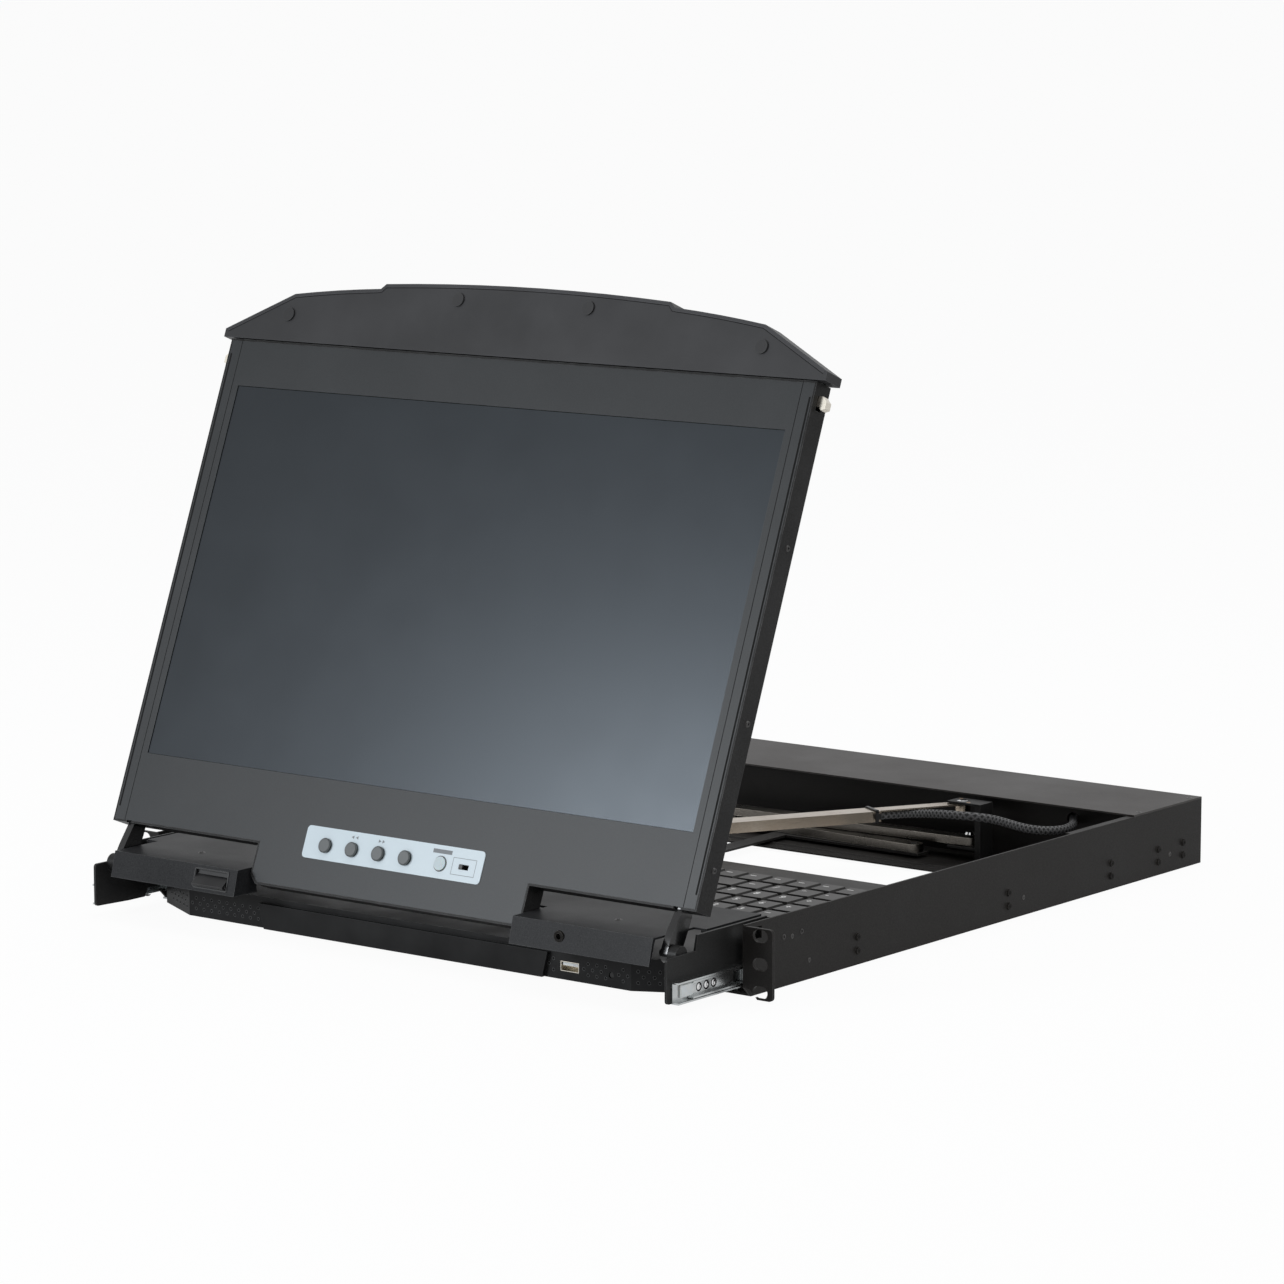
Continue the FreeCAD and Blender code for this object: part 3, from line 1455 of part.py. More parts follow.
# routes of the braided sleeve: in the upper arm as far as its pivot, then round to the bulkhead
ARM_ROUTE = [(64.5, 328, 34.3), (75.5, 347, 34.3), (88, 362, 34.3), (102.5, 370.5, 34.3),
             (117.5, 373.5, 34.3)]
LOOP_ROUTE = [(117.5, 373.5, 34.3), (132.5, 376.5, 34.3), (146.5, 375, 33.2), (160.5, 372.5, 31.9),
              (172.5, 376.5, 30.9), (180, 387, 30.6), (180, 400, 31.4), (173, 411, 32.7), (167, 421, 33)]


def rounded_path(points):
    """Straight runs joined by tangent arcs as large as the two runs beside them allow."""
    places = [Vector(*point) for point in points]
    edges = []
    here = places[0]
    for before, corner, after in zip(places, places[1:], places[2:]):
        incoming, outgoing = corner - before, after - corner
        turn = incoming.getAngle(outgoing)
        setback = 0.45 * min(incoming.Length, outgoing.Length)
        radius = setback / math.tan(turn / 2)
        print(f"sleeve radius {radius:.1f}")
        incoming.normalize()
        outgoing.normalize()
        first, last = corner - incoming * setback, corner + outgoing * setback
        inward = (outgoing - incoming).normalize()
        centre = corner + inward * math.hypot(radius, setback)
        middle = centre - inward * radius
        edges.append(Part.LineSegment(here, first).toShape())
        edges.append(Part.Arc(first, middle, last).toShape())
        here = last
    edges.append(Part.LineSegment(here, places[-1]).toShape())
    return Part.Wire(edges)


def sleeve(route, label):
    """Round sleeve along a route."""
    path = rounded_path(route)
    start = Vector(*route[0])
    radius = float(dim.sleeve_radius)
    ring = Part.Circle(start, Vector(*route[1]) - start, radius).toShape()
    tube = path.makePipeShell([Part.Wire(ring)], True, True)
    ratio = tube.Volume / (math.pi * radius ** 2 * path.Length)
    print(f"{label} volume ratio {ratio:.4f}")
    piece = doc.addObject("Part::Feature", label)
    piece.Shape = tube
    return piece


in_chassis(sleeve(ARM_ROUTE, "cable_sleeve_arm"), "cable_sleeve_arm")
in_chassis(sleeve(LOOP_ROUTE, "cable_sleeve_loop"), "cable_sleeve_loop")

write_parts()
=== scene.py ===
"""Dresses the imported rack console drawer: camera, floor and light, then each group of its pieces."""

import math

import bmesh
import bpy
from mathutils import Matrix, Vector


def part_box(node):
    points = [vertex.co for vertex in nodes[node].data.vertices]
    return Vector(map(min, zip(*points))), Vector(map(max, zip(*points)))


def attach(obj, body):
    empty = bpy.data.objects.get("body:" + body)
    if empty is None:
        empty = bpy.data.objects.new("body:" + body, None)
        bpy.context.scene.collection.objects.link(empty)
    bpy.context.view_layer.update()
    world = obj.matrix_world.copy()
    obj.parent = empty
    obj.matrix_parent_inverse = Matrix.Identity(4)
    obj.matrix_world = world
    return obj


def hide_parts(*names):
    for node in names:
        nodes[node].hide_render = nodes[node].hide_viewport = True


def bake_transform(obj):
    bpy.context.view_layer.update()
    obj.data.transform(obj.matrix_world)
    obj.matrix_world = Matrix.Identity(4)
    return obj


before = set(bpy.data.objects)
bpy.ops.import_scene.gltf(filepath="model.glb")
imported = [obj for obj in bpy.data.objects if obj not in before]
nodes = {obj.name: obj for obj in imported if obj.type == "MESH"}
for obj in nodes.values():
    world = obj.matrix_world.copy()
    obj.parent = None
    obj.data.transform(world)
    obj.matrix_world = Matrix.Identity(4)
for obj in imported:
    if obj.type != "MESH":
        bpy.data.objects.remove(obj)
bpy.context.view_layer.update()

# ---------------------------------------------------------------- camera
# The camera stands to the right and a little above, looking at the front of the open drawer.
# It is level from side to side, and a long lens keeps the edges nearly parallel.
lens = bpy.data.cameras.new("camera")
lens.sensor_width = 36.0
lens.lens = 135.34
lens.clip_end = 200.0
look_down, swung = 8.684, 37.70
camera = bpy.data.objects.new("camera", lens)
camera.location = (1.7719, -2.0981, 0.5771)
camera.rotation_euler = (math.radians(90 - look_down), 0.0, math.radians(swung))
bpy.context.scene.collection.objects.link(camera)
bpy.context.scene.camera = camera
bpy.context.scene.view_settings.view_transform = "Standard"

# ---------------------------------------------------------------- cable sleeve, its line
# A braided polyester sleeve gathers the leads of the screen. From the upper arm's tie it hangs in
# a flat loop behind the pivot, and goes through the bulkhead into the rear box. Heights are
# written above the chassis floor, and the frame counts them from the middle of the chassis.
sleeve_width = 0.0054
mid_height = 0.0205
LOOP_POINTS = [
    (0.1175, 0.3735, 0.0343), (0.1325, 0.3765, 0.0343), (0.1465, 0.3750, 0.0332),
    (0.1605, 0.3725, 0.0319), (0.1725, 0.3765, 0.0309), (0.1800, 0.3870, 0.0306),
    (0.1800, 0.4000, 0.0314), (0.1730, 0.4110, 0.0327), (0.1670, 0.4210, 0.0330)]
ARM_POINTS = [
    (0.0645, 0.3280, 0.0343), (0.0755, 0.3470, 0.0343), (0.0880, 0.3620, 0.0343),
    (0.1025, 0.3705, 0.0343), (0.1175, 0.3735, 0.0343)]


def from_middle(point):
    """A point written above the chassis floor, in the frame's own heights."""
    return point[0], point[1], point[2] - mid_height


def sleeve_curve(name, points):
    """Smooth round sleeve along its control points."""
    data = bpy.data.curves.new(name, "CURVE")
    data.dimensions = "3D"
    data.bevel_depth = sleeve_width / 2
    data.bevel_resolution = 8
    data.use_fill_caps = True
    line = data.splines.new("NURBS")
    line.points.add(len(points) - 1)
    for spot, point in zip(line.points, points):
        spot.co = (*from_middle(point), 1.0)
    line.order_u = 3
    line.use_endpoint_u = True
    line.resolution_u = 10
    curve = bpy.data.objects.new(name, data)
    bpy.context.scene.collection.objects.link(curve)
    return curve


loop_sleeve = sleeve_curve("loop_sleeve", LOOP_POINTS)
arm_sleeve = sleeve_curve("arm_sleeve", ARM_POINTS)

# ---------------------------------------------------------------- floor and light
# A white sweep under the drawer, one broad lamp high on the left, one overhead and one low fill.
# The sweep shows white to the camera and in reflections, and still takes a faint shadow.


def add(tree, kind, inputs=(), **settings):
    """One node of a tree: its settings, then a value or a socket for each named input."""
    made = tree.nodes.new(kind)
    for key, value in settings.items():
        setattr(made, key, value)
    for key, value in dict(inputs).items():
        if isinstance(value, bpy.types.NodeSocket):
            tree.links.new(value, made.inputs[key])
        else:
            made.inputs[key].default_value = value
    return made


def seen_directly(tree, mirrored):
    """1 for camera and transmission rays, a share of it for glossy rays, and 0 for the others."""
    path = add(tree, "ShaderNodeLightPath")
    glossy = add(tree, "ShaderNodeMath", {0: path.outputs["Is Glossy Ray"], 1: mirrored},
                 operation="MULTIPLY")
    first = add(tree, "ShaderNodeMath", {0: path.outputs["Is Camera Ray"],
                                         1: glossy.outputs[0]}, operation="MAXIMUM")
    return add(tree, "ShaderNodeMath", {0: first.outputs[0],
                                        1: path.outputs["Is Transmission Ray"]}, operation="MAXIMUM")


world = bpy.data.worlds.new("studio")
world.use_nodes = True
bpy.context.scene.world = world
air = world.node_tree
air.nodes.clear()
lit = add(air, "ShaderNodeBackground", {"Color": (0.92, 0.95, 1.0, 1), "Strength": 0.35})
shown = add(air, "ShaderNodeBackground", {"Color": (1, 1, 1, 1), "Strength": 1.0})
mixed = add(air, "ShaderNodeMixShader", {0: seen_directly(air, 0.62).outputs[0], 1: lit.outputs[0],
                                         2: shown.outputs[0]})
add(air, "ShaderNodeOutputWorld", {"Surface": mixed.outputs[0]})

floor_level, reach = -mid_height - 0.0004, 60
sweep_mesh = bpy.data.meshes.new("sweep")
sweep_mesh.from_pydata([(-reach, -reach, floor_level), (reach, -reach, floor_level),
                        (reach, reach, floor_level), (-reach, reach, floor_level)],
                       [], [(0, 1, 2, 3)])
sweep = bpy.data.objects.new("sweep", sweep_mesh)
bpy.context.scene.collection.objects.link(sweep)
sweep_paint = bpy.data.materials.new("sweep_paper")
sweep_paint.use_nodes = True
paper = sweep_paint.node_tree
paper.nodes.clear()
matte = add(paper, "ShaderNodeBsdfDiffuse", {"Color": (0.85, 0.85, 0.85, 1)})
glow = add(paper, "ShaderNodeEmission", {"Color": (1, 1, 1, 1), "Strength": 1.0})
share = add(paper, "ShaderNodeMath", {0: seen_directly(paper, 0.5).outputs[0], 1: 0.95},
            operation="MULTIPLY")
blended = add(paper, "ShaderNodeMixShader", {0: share.outputs[0], 1: matte.outputs[0],
                                             2: glow.outputs[0]})
add(paper, "ShaderNodeOutputMaterial", {"Surface": blended.outputs[0]})
sweep_mesh.materials.append(sweep_paint)


def lamp(name, place, target, size, power, colour=(1, 1, 1)):
    """Square soft lamp at a place, turned to its target."""
    light = bpy.data.lights.new(name, "AREA")
    light.size = size
    light.energy = power
    light.color = colour
    holder = bpy.data.objects.new(name, light)
    holder.location = place
    holder.rotation_euler = (Vector(target) - Vector(place)).to_track_quat("-Z", "Y").to_euler()
    bpy.context.scene.collection.objects.link(holder)


lamp("high_left", (-0.74, -1.40, 0.60), (0.08, 0.0, 0.08), 0.5, 14, (0.92, 0.96, 1.0))
lamp("overhead", (0.2, 0.5, 1.9), (0.0, 0.1, 0.0), 1.6, 19)
lamp("right_fill", (1.9, -0.6, 0.9), (0.2, 0.1, 0.0), 0.9, 5, (1.0, 0.98, 0.95))

# ---------------------------------------------------------------- powder coat, chassis metal
# Folded steel sheets with a fine black powder coat: the side walls with their ears, the rear
# floor, the rear panel and the cover. The coat is slightly pebbled, and its edges are painted
# lighter, partly as wear and partly as a painted highlight. The cover's coat is painted lighter
# and browner than the walls' as a painted sheen.


def new_group(name, values, results, kind="ShaderNodeTree"):
    """Empty node group with its named inputs and outputs."""
    tree = bpy.data.node_groups.new(name, kind)
    for label, (socket, value) in values.items():
        made = tree.interface.new_socket(label, in_out="INPUT", socket_type=socket)
        if value is not None:
            made.default_value = value
    for label, socket in results.items():
        tree.interface.new_socket(label, in_out="OUTPUT", socket_type=socket)
    return tree, add(tree, "NodeGroupInput")


COLOUR = "NodeSocketColor"
NUMBER = "NodeSocketFloat"
FINISH_OUT = {"Colour": COLOUR, "Roughness": NUMBER, "Height": NUMBER}


def ranged(tree, value, low, high, new_low=0.0, new_high=1.0):
    """Value of one range brought to another, held at its ends."""
    return add(tree, "ShaderNodeMapRange", {"Value": value, "From Min": low, "From Max": high,
                                            "To Min": new_low, "To Max": new_high}).outputs[0]


def mix_colour(tree, factor, first, second):
    """Colour between two colours."""
    return add(tree, "ShaderNodeMix", {0: factor, 6: first, 7: second},
               data_type="RGBA").outputs[2]


def math_of(tree, operation, first, second):
    """One sum of two numbers."""
    return add(tree, "ShaderNodeMath", {0: first, 1: second}, operation=operation).outputs[0]


def close_group(tree, **results):
    """Wires the results to the group's outputs."""
    add(tree, "NodeGroupOutput", results)
    return tree


def rounding(tree, radius):
    """How far the softened normal follows the flat one: 1 on a face, less along an edge."""
    rounded = add(tree, "ShaderNodeBevel", {"Radius": radius}, samples=4).outputs[0]
    flat = add(tree, "ShaderNodeNewGeometry").outputs["Normal"]
    close = add(tree, "ShaderNodeVectorMath", {0: rounded, 1: flat}, operation="DOT_PRODUCT")
    return close.outputs["Value"]


def spread_roughness(tree, given, cloud):
    """The given roughness, shifted up and down by a broad noise."""
    shift = math_of(tree, "MULTIPLY", ranged(tree, cloud, 0.3, 0.7, -1.0, 1.0),
                    given.outputs["Spread"])
    return math_of(tree, "ADD", given.outputs["Roughness"], shift)


def coat_group():
    """Pebbled coat: broad unevenness, fine grain, and edges painted lighter, partly as wear and partly
    as a painted highlight.
    """
    tree, given = new_group("pebbled_coat", {
        "Colour": (COLOUR, (0.02, 0.02, 0.02, 1)), "Rubbed": (COLOUR, (0.1, 0.1, 0.1, 1)),
        "Roughness": (NUMBER, 0.5), "Spread": (NUMBER, 0.1), "Grain": (NUMBER, 1500.0),
        "Edge": (NUMBER, 0.0006)}, FINISH_OUT)
    place = add(tree, "ShaderNodeTexCoord").outputs["Object"]
    fine = add(tree, "ShaderNodeTexNoise", {"Vector": place, "Scale": given.outputs["Grain"],
                                            "Detail": 2.0}).outputs[0]
    broad = add(tree, "ShaderNodeTexNoise", {"Vector": place, "Scale": 17.0, "Detail": 5.0,
                                             "Roughness": 0.6}).outputs[0]
    patchy = add(tree, "ShaderNodeTexNoise", {"Vector": place, "Scale": 140.0,
                                              "Detail": 3.0}).outputs[0]
    # Edges take the lighter colour in patches: partly wear, partly a painted highlight along the
    # edges.
    edge = ranged(tree, rounding(tree, given.outputs["Edge"]), 0.995, 0.80)
    worn = math_of(tree, "MULTIPLY", edge, ranged(tree, patchy, 0.35, 0.7, 0.25, 1.0))
    speck = mix_colour(tree, ranged(tree, fine, 0.35, 0.75, 0.0, 0.18), given.outputs["Colour"],
                       given.outputs["Rubbed"])
    uneven = mix_colour(tree, ranged(tree, broad, 0.4, 0.8, 0.0, 0.12), speck,
                        given.outputs["Rubbed"])
    colour = mix_colour(tree, worn, uneven, given.outputs["Rubbed"])
    return close_group(tree, Colour=colour, Roughness=spread_roughness(tree, given, broad),
                       Height=fine)


def finish(name, effect, bump, depth, gloss=0.5, metal=0.0, shader=(), **values):
    """Material of one group's colour, roughness and height over plain shader values."""
    made = bpy.data.materials.new(name)
    made.use_nodes = True
    tree = made.node_tree
    tree.nodes.clear()
    over = add(tree, "ShaderNodeGroup", node_tree=effect)
    for label, value in values.items():
        over.inputs[label].default_value = (*value, 1.0) if isinstance(value, tuple) else value
    relief = add(tree, "ShaderNodeBump", {"Height": over.outputs["Height"], "Strength": bump,
                                          "Distance": depth})
    face = add(tree, "ShaderNodeBsdfPrincipled", {
        "Base Color": over.outputs["Colour"], "Roughness": over.outputs["Roughness"],
        "Normal": relief.outputs[0], "Specular IOR Level": gloss, "Metallic": metal,
        **dict(shader)})
    add(tree, "ShaderNodeOutputMaterial", {"Surface": face.outputs[0]})
    made.diffuse_color = (*values["Colour"], 1.0)
    return made


def dress(material, *names):
    """Gives CAD nodes a material in the slots that they have."""
    for name in names:
        mesh = nodes[name].data
        mesh.materials.clear()
        mesh.materials.append(material)


pebbled_coat = coat_group()
chassis_black = finish("chassis_black", pebbled_coat, 0.25, 0.00015,
                       gloss=0.16, Colour=(0.0075, 0.0066, 0.0060),
                       Rubbed=(0.075, 0.07, 0.066), Roughness=0.47, Spread=0.07, Grain=1500.0)
# The cover takes the walls' coat painted lighter and browner: a painted sheen.
cover_brown = finish("cover_brown", pebbled_coat, 0.25, 0.00015,
                     gloss=0.34, Colour=(0.0200, 0.0170, 0.0154),
                     Rubbed=(0.085, 0.078, 0.072), Roughness=0.47, Spread=0.05, Grain=1500.0)
dress(chassis_black, "side_wall_left", "side_wall_right", "rear_floor", "rear_panel")
dress(cover_brown, "rear_cover")

# ---------------------------------------------------------------- rivets and screws
# Small pressed heads hold the fixed rails to the walls and the cover to its flanges. Each is a
# low turned head with a driven cross, painted over on the walls. The cross is a thin dark plate
# laid on the head: painted shade for the recess. The wall rivets are painted darker than the
# wall coat: painted shade on their domes.


def cup(tree, radius, height, top, sides=20):
    """Low cone with a flat top, standing on its base."""
    return add(tree, "GeometryNodeMeshCone", {"Radius Bottom": radius, "Radius Top": top,
                                              "Depth": height, "Vertices": sides}).outputs["Mesh"]


def set_on_points(tree, given, made):
    """Ends a tree: its piece on every given point, turned to the point's own direction."""
    facing = add(tree, "GeometryNodeInputNamedAttribute", {"Name": "facing"},
                 data_type="FLOAT_VECTOR").outputs[0]
    turned = add(tree, "FunctionNodeAlignRotationToVector", {"Vector": facing}, axis="Z")
    placed = add(tree, "GeometryNodeInstanceOnPoints", {
        "Points": given.outputs["Geometry"], "Instance": made.outputs[0],
        "Rotation": turned.outputs[0]})
    solid = add(tree, "GeometryNodeRealizeInstances", {"Geometry": placed.outputs[0]})
    add(tree, "NodeGroupOutput", {"Geometry": solid.outputs[0]})
    return tree


def screw_tree():
    """Heads set on points, each turned to the point's own direction."""
    tree, given = new_group("set_screws", {
        "Geometry": ("NodeSocketGeometry", None), "Radius": (NUMBER, 0.002),
        "Height": (NUMBER, 0.0008), "Recess": (NUMBER, 0.5),
        "Head": ("NodeSocketMaterial", None), "Slot": ("NodeSocketMaterial", None)},
        {"Geometry": "NodeSocketGeometry"}, "GeometryNodeTree")
    radius, height = given.outputs["Radius"], given.outputs["Height"]
    head = cup(tree, radius, height, math_of(tree, "MULTIPLY", radius, 0.78))
    headed = add(tree, "GeometryNodeSetMaterial", {"Geometry": head,
                                                   "Material": given.outputs["Head"]})
    # The cross is two thin bars in the slot material laid on the head: painted shade for a driven
    # recess.
    long = math_of(tree, "MULTIPLY", radius, given.outputs["Recess"])
    slim = math_of(tree, "MULTIPLY", long, 0.3)
    bars = []
    for turn in ((long, slim), (slim, long)):
        size = add(tree, "ShaderNodeCombineXYZ", {0: turn[0], 1: turn[1], 2: 0.00006})
        bar = add(tree, "GeometryNodeMeshCube", {"Size": size.outputs[0]}).outputs["Mesh"]
        lift = add(tree, "ShaderNodeCombineXYZ", {2: height})
        bars.append(add(tree, "GeometryNodeTransform", {"Geometry": bar,
                                                        "Translation": lift.outputs[0]}))
    cross = add(tree, "GeometryNodeJoinGeometry")
    for bar in bars:
        tree.links.new(bar.outputs[0], cross.inputs[0])
    crossed = add(tree, "GeometryNodeSetMaterial", {"Geometry": cross.outputs[0],
                                                    "Material": given.outputs["Slot"]})
    screw = add(tree, "GeometryNodeJoinGeometry")
    tree.links.new(headed.outputs[0], screw.inputs[0])
    tree.links.new(crossed.outputs[0], screw.inputs[0])
    return set_on_points(tree, given, screw)


def piece(name, mesh):
    """Object of a mesh that is already in its place."""
    made = bpy.data.objects.new(name, mesh)
    bpy.context.scene.collection.objects.link(made)
    return made


def mesh_of(made):
    """Plain mesh of an object as it stands, and the object is taken away."""
    mesh = bpy.data.meshes.new_from_object(
        made.evaluated_get(bpy.context.evaluated_depsgraph_get()))
    bpy.data.objects.remove(made)
    return mesh


def grown(name, tree, start, **values):
    """Plain mesh of what a geometry tree makes from a start mesh and its named values."""
    made = piece(name + "_seed", start)
    grower = made.modifiers.new("grow", "NODES")
    grower.node_group = tree
    keys = {item.name: item.identifier for item in tree.interface.items_tree
            if item.in_out == "INPUT"}
    for label, value in values.items():
        grower[keys[label]] = value
    mesh = mesh_of(made)
    mesh.name = name
    return piece(name, mesh)


def spots(places, facing):
    """Points with the direction that stands up from each."""
    mesh = bpy.data.meshes.new("spots")
    mesh.from_pydata([tuple(place) for place in places], [], [])
    mark = mesh.attributes.new("facing", "FLOAT_VECTOR", "POINT")
    for item, way in zip(mark.data, facing):
        item.vector = way
    return mesh


def riding(made, body, slot, *replaced):
    """Fixes a finished piece to its body and hides the nodes it stands for; the finish it takes (slot)
    is not used.
    """
    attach(made, body)
    if replaced:
        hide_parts(*replaced)
    return made


set_screws = screw_tree()
screw_black = finish("screw_black", pebbled_coat, 0.1, 0.0001, gloss=0.4,
                     Colour=(0.005, 0.005, 0.005), Rubbed=(0.20, 0.19, 0.18), Roughness=0.30,
                     Spread=0.08, Grain=2200.0, Edge=0.0003)
# Rivet heads take the wall coat painted much darker: painted shade on the domes.
rivet_black = finish("rivet_black", pebbled_coat, 0.1, 0.0001, gloss=0.06,
                     Colour=(0.0016, 0.0015, 0.0014), Rubbed=(0.13, 0.12, 0.11), Roughness=0.5,
                     Spread=0.05, Grain=2200.0, Edge=0.00035)
# Dark paint for screw crosses, ball pockets, seams, gaps, rim lines and holes: painted shade where
# recesses and gaps fall dark.
recess_dark = finish("recess_dark", pebbled_coat, 0.1, 0.0001, gloss=0.2,
                     Colour=(0.003, 0.003, 0.003), Rubbed=(0.012, 0.012, 0.012), Roughness=0.8,
                     Spread=0.05, Grain=1500.0, Edge=0.0002)


def heads_on(name, body, slot, places, ways, size, metal, *replaced):
    """A row of heads at places on a body. Size is the radius, the height and the cross's share."""
    radius, height, recess = size
    made = grown(name, set_screws, spots(places, ways), Radius=radius, Height=height,
                 Recess=recess, Head=metal, Slot=recess_dark)
    return riding(made, body, slot, *replaced)


wall_face = 0.2218
rail_low, rail_high = 0.0083 - mid_height, 0.0164 - mid_height
heads, ways = [], []
for side in (1, -1):
    for back in (0.108, 0.264, 0.378, 0.433, 0.462):
        for up in (rail_low, rail_high):
            heads.append((side * wall_face, back, up))
            ways.append((side, 0, 0))
heads_on("chassis_rivets", "chassis", "screw_steel", heads, ways, (0.00235, 0.0013, 0.9),
         rivet_black, "chassis_screws")

cover_top = 0.0423 - mid_height
cover_spots = [(side * (wall_face - 0.003), back, cover_top)
               for side in (1, -1) for back in (0.414, 0.474)]
heads_on("cover_screws", "chassis", "screw_steel", cover_spots, [(0, 0, 1)] * 4,
         (0.002, 0.0003, 0.9), screw_black)


def shaped(name, shape, material, smooth=False):
    """Object of a mesh under construction, with its faces turned outward."""
    bmesh.ops.recalc_face_normals(shape, faces=shape.faces)
    mesh = bpy.data.meshes.new(name)
    shape.to_mesh(mesh)
    shape.free()
    mesh.materials.append(material)
    if smooth:
        mesh.shade_smooth()
    return piece(name, mesh)


def washer(shape, place, inner, outer, thick, sides=36):
    """Adds a flat ring that lies on a place's own base plane and is as thick as given."""
    turns = [2 * math.pi * step / sides for step in range(sides)]
    circles = []
    for radius, up in ((inner, 0), (outer, 0), (outer, thick), (inner, thick)):
        points = [Vector((radius * math.cos(turn), radius * math.sin(turn), up)) for turn in turns]
        circles.append([shape.verts.new(place @ point) for point in points])
    for first, second in zip(circles, circles[1:] + circles[:1]):
        for step in range(sides):
            after = (step + 1) % sides
            shape.faces.new((first[step], first[after], second[after], second[step]))


rings = bmesh.new()
for side in (1, -1):
    outward = Matrix.Rotation(side * math.radians(90), 4, "Y")
    for back, up in ((0.037, 0.0284), (0.054, 0.0287)):
        washer(rings, Matrix.Translation((side * wall_face, back, up - mid_height)) @ outward,
               0.0010, 0.0015, 0.0002)
riding(shaped("wall_rings", rings, screw_black), "chassis", "chassis_paint")
dimples = [(0.045, 0.0274), (0.0615, 0.011), (0.2806, 0.0109), (0.4469, 0.0112)]
marks = [(side * wall_face, back, up - mid_height) for side in (1, -1) for back, up in dimples]
heads_on("wall_dimples", "chassis", "chassis_paint", marks,
         [(side, 0, 0) for side in (1, -1) for _ in dimples], (0.0014, 0.0003, 0.6), screw_black)

# ---------------------------------------------------------------- carriage
# The carriage is folded from thinner sheet and carries the screen: two sides, and a deck with two
# wings whose front edges turn down. Its coat is the same black, a little glossier and bluer.
carriage_black = finish("carriage_black", pebbled_coat, 0.25, 0.00015,
                        gloss=0.12, Colour=(0.0070, 0.0074, 0.0086),
                        Rubbed=(0.1, 0.1, 0.1), Roughness=0.42, Spread=0.06, Grain=1500.0)
side_black = finish("side_black", pebbled_coat, 0.2, 0.00015,
                    gloss=0.2, Colour=(0.0045, 0.0044, 0.0042),
                    Rubbed=(0.08, 0.08, 0.08), Roughness=0.45, Spread=0.06, Grain=1500.0)
dress(carriage_black, "carriage_deck")
dress(side_black, "carriage_side_left", "carriage_side_right")
wing_top = 0.0410 - mid_height
heads_on("wing_screws", "carriage", "screw_steel",
         [(side * 0.157, -0.030, wing_top) for side in (1, -1)], [(0, 0, 1)] * 2,
         (0.0022, 0.0003, 1.1), screw_black)

# ---------------------------------------------------------------- bright metals
# The slides are zinc plated, the folding arms nickel plated, and their brackets plain steel. All
# show the fine lines of rolling along their length, and a little cloud from handling.


def rolled_group():
    """Metal drawn in one direction: fine lines, and broad cloudy stains."""
    tree, given = new_group("rolled_metal", {
        "Colour": (COLOUR, (0.7, 0.7, 0.7, 1)), "Stain": (COLOUR, (0.4, 0.4, 0.4, 1)),
        "Roughness": (NUMBER, 0.25), "Spread": (NUMBER, 0.1), "Lines": (NUMBER, 2500.0),
        "Along": (NUMBER, 30.0)}, FINISH_OUT)
    place = add(tree, "ShaderNodeTexCoord").outputs["Object"]
    stretch = add(tree, "ShaderNodeCombineXYZ", {0: given.outputs["Lines"],
                                                 1: given.outputs["Along"],
                                                 2: given.outputs["Lines"]})
    drawn = add(tree, "ShaderNodeVectorMath", {0: place, 1: stretch.outputs[0]},
                operation="MULTIPLY")
    lines = add(tree, "ShaderNodeTexNoise", {"Vector": drawn.outputs[0], "Scale": 1.0,
                                             "Detail": 3.0}).outputs[0]
    cloud = add(tree, "ShaderNodeTexNoise", {"Vector": place, "Scale": 45.0, "Detail": 5.0,
                                             "Roughness": 0.65}).outputs[0]
    colour = mix_colour(tree, ranged(tree, cloud, 0.42, 0.72, 0.0, 0.55), given.outputs["Colour"],
                        given.outputs["Stain"])
    tinted = mix_colour(tree, ranged(tree, lines, 0.4, 0.8, 0.0, 0.3), colour,
                        given.outputs["Stain"])
    return close_group(tree, Colour=tinted, Roughness=spread_roughness(tree, given, cloud),
                       Height=lines)


rolled_metal = rolled_group()
zinc = finish("zinc_plate", rolled_metal, 0.08, 0.0001, metal=1.0,
              Colour=(0.60, 0.62, 0.62), Stain=(0.36, 0.38, 0.39), Roughness=0.22, Spread=0.08)
nickel = finish("nickel_plate", rolled_metal, 0.05, 0.0001, metal=1.0,
                Colour=(0.50, 0.43, 0.35), Stain=(0.30, 0.23, 0.17), Roughness=0.22, Spread=0.06,
                Lines=1200.0)
bracket = finish("bracket_plate", rolled_metal, 0.08, 0.0001, metal=1.0,
                 Colour=(0.5, 0.5, 0.5), Stain=(0.25, 0.24, 0.22), Roughness=0.3, Spread=0.08)
brass = finish("brass_screw", rolled_metal, 0.05, 0.0001, metal=1.0,
               Colour=(0.66, 0.42, 0.24), Stain=(0.35, 0.2, 0.1), Roughness=0.22, Spread=0.05)
polished = finish("polished_steel", rolled_metal, 0.02, 0.0001, metal=1.0,
                  Colour=(0.8, 0.8, 0.8), Stain=(0.5, 0.5, 0.5), Roughness=0.08, Spread=0.03)
dress(zinc, "screen_rail_outer", "screen_rail_middle", "screen_rail_inner",
      "keyboard_rail_outer", "keyboard_rail_middle", "keyboard_rail_inner")
dress(nickel, "upper_arm_rear", "upper_arm_front")
arm_dark = finish("oiled_steel", pebbled_coat, 0.1, 0.0001, metal=1.0,
                  Colour=(0.11, 0.10, 0.09), Rubbed=(0.72, 0.68, 0.60), Roughness=0.3, Spread=0.08,
                  Grain=1800.0, Edge=0.0007)
dress(arm_dark, "lower_arm_rear", "lower_arm_front")
dress(side_black, "arm_anchor")
dress(bracket, "carriage_arm_bracket")

# ---------------------------------------------------------------- slide ends
# Behind the front end of each screen slide sits a white nylon stop block, and behind it the first
# balls of the race, which run between the lips of the channels.


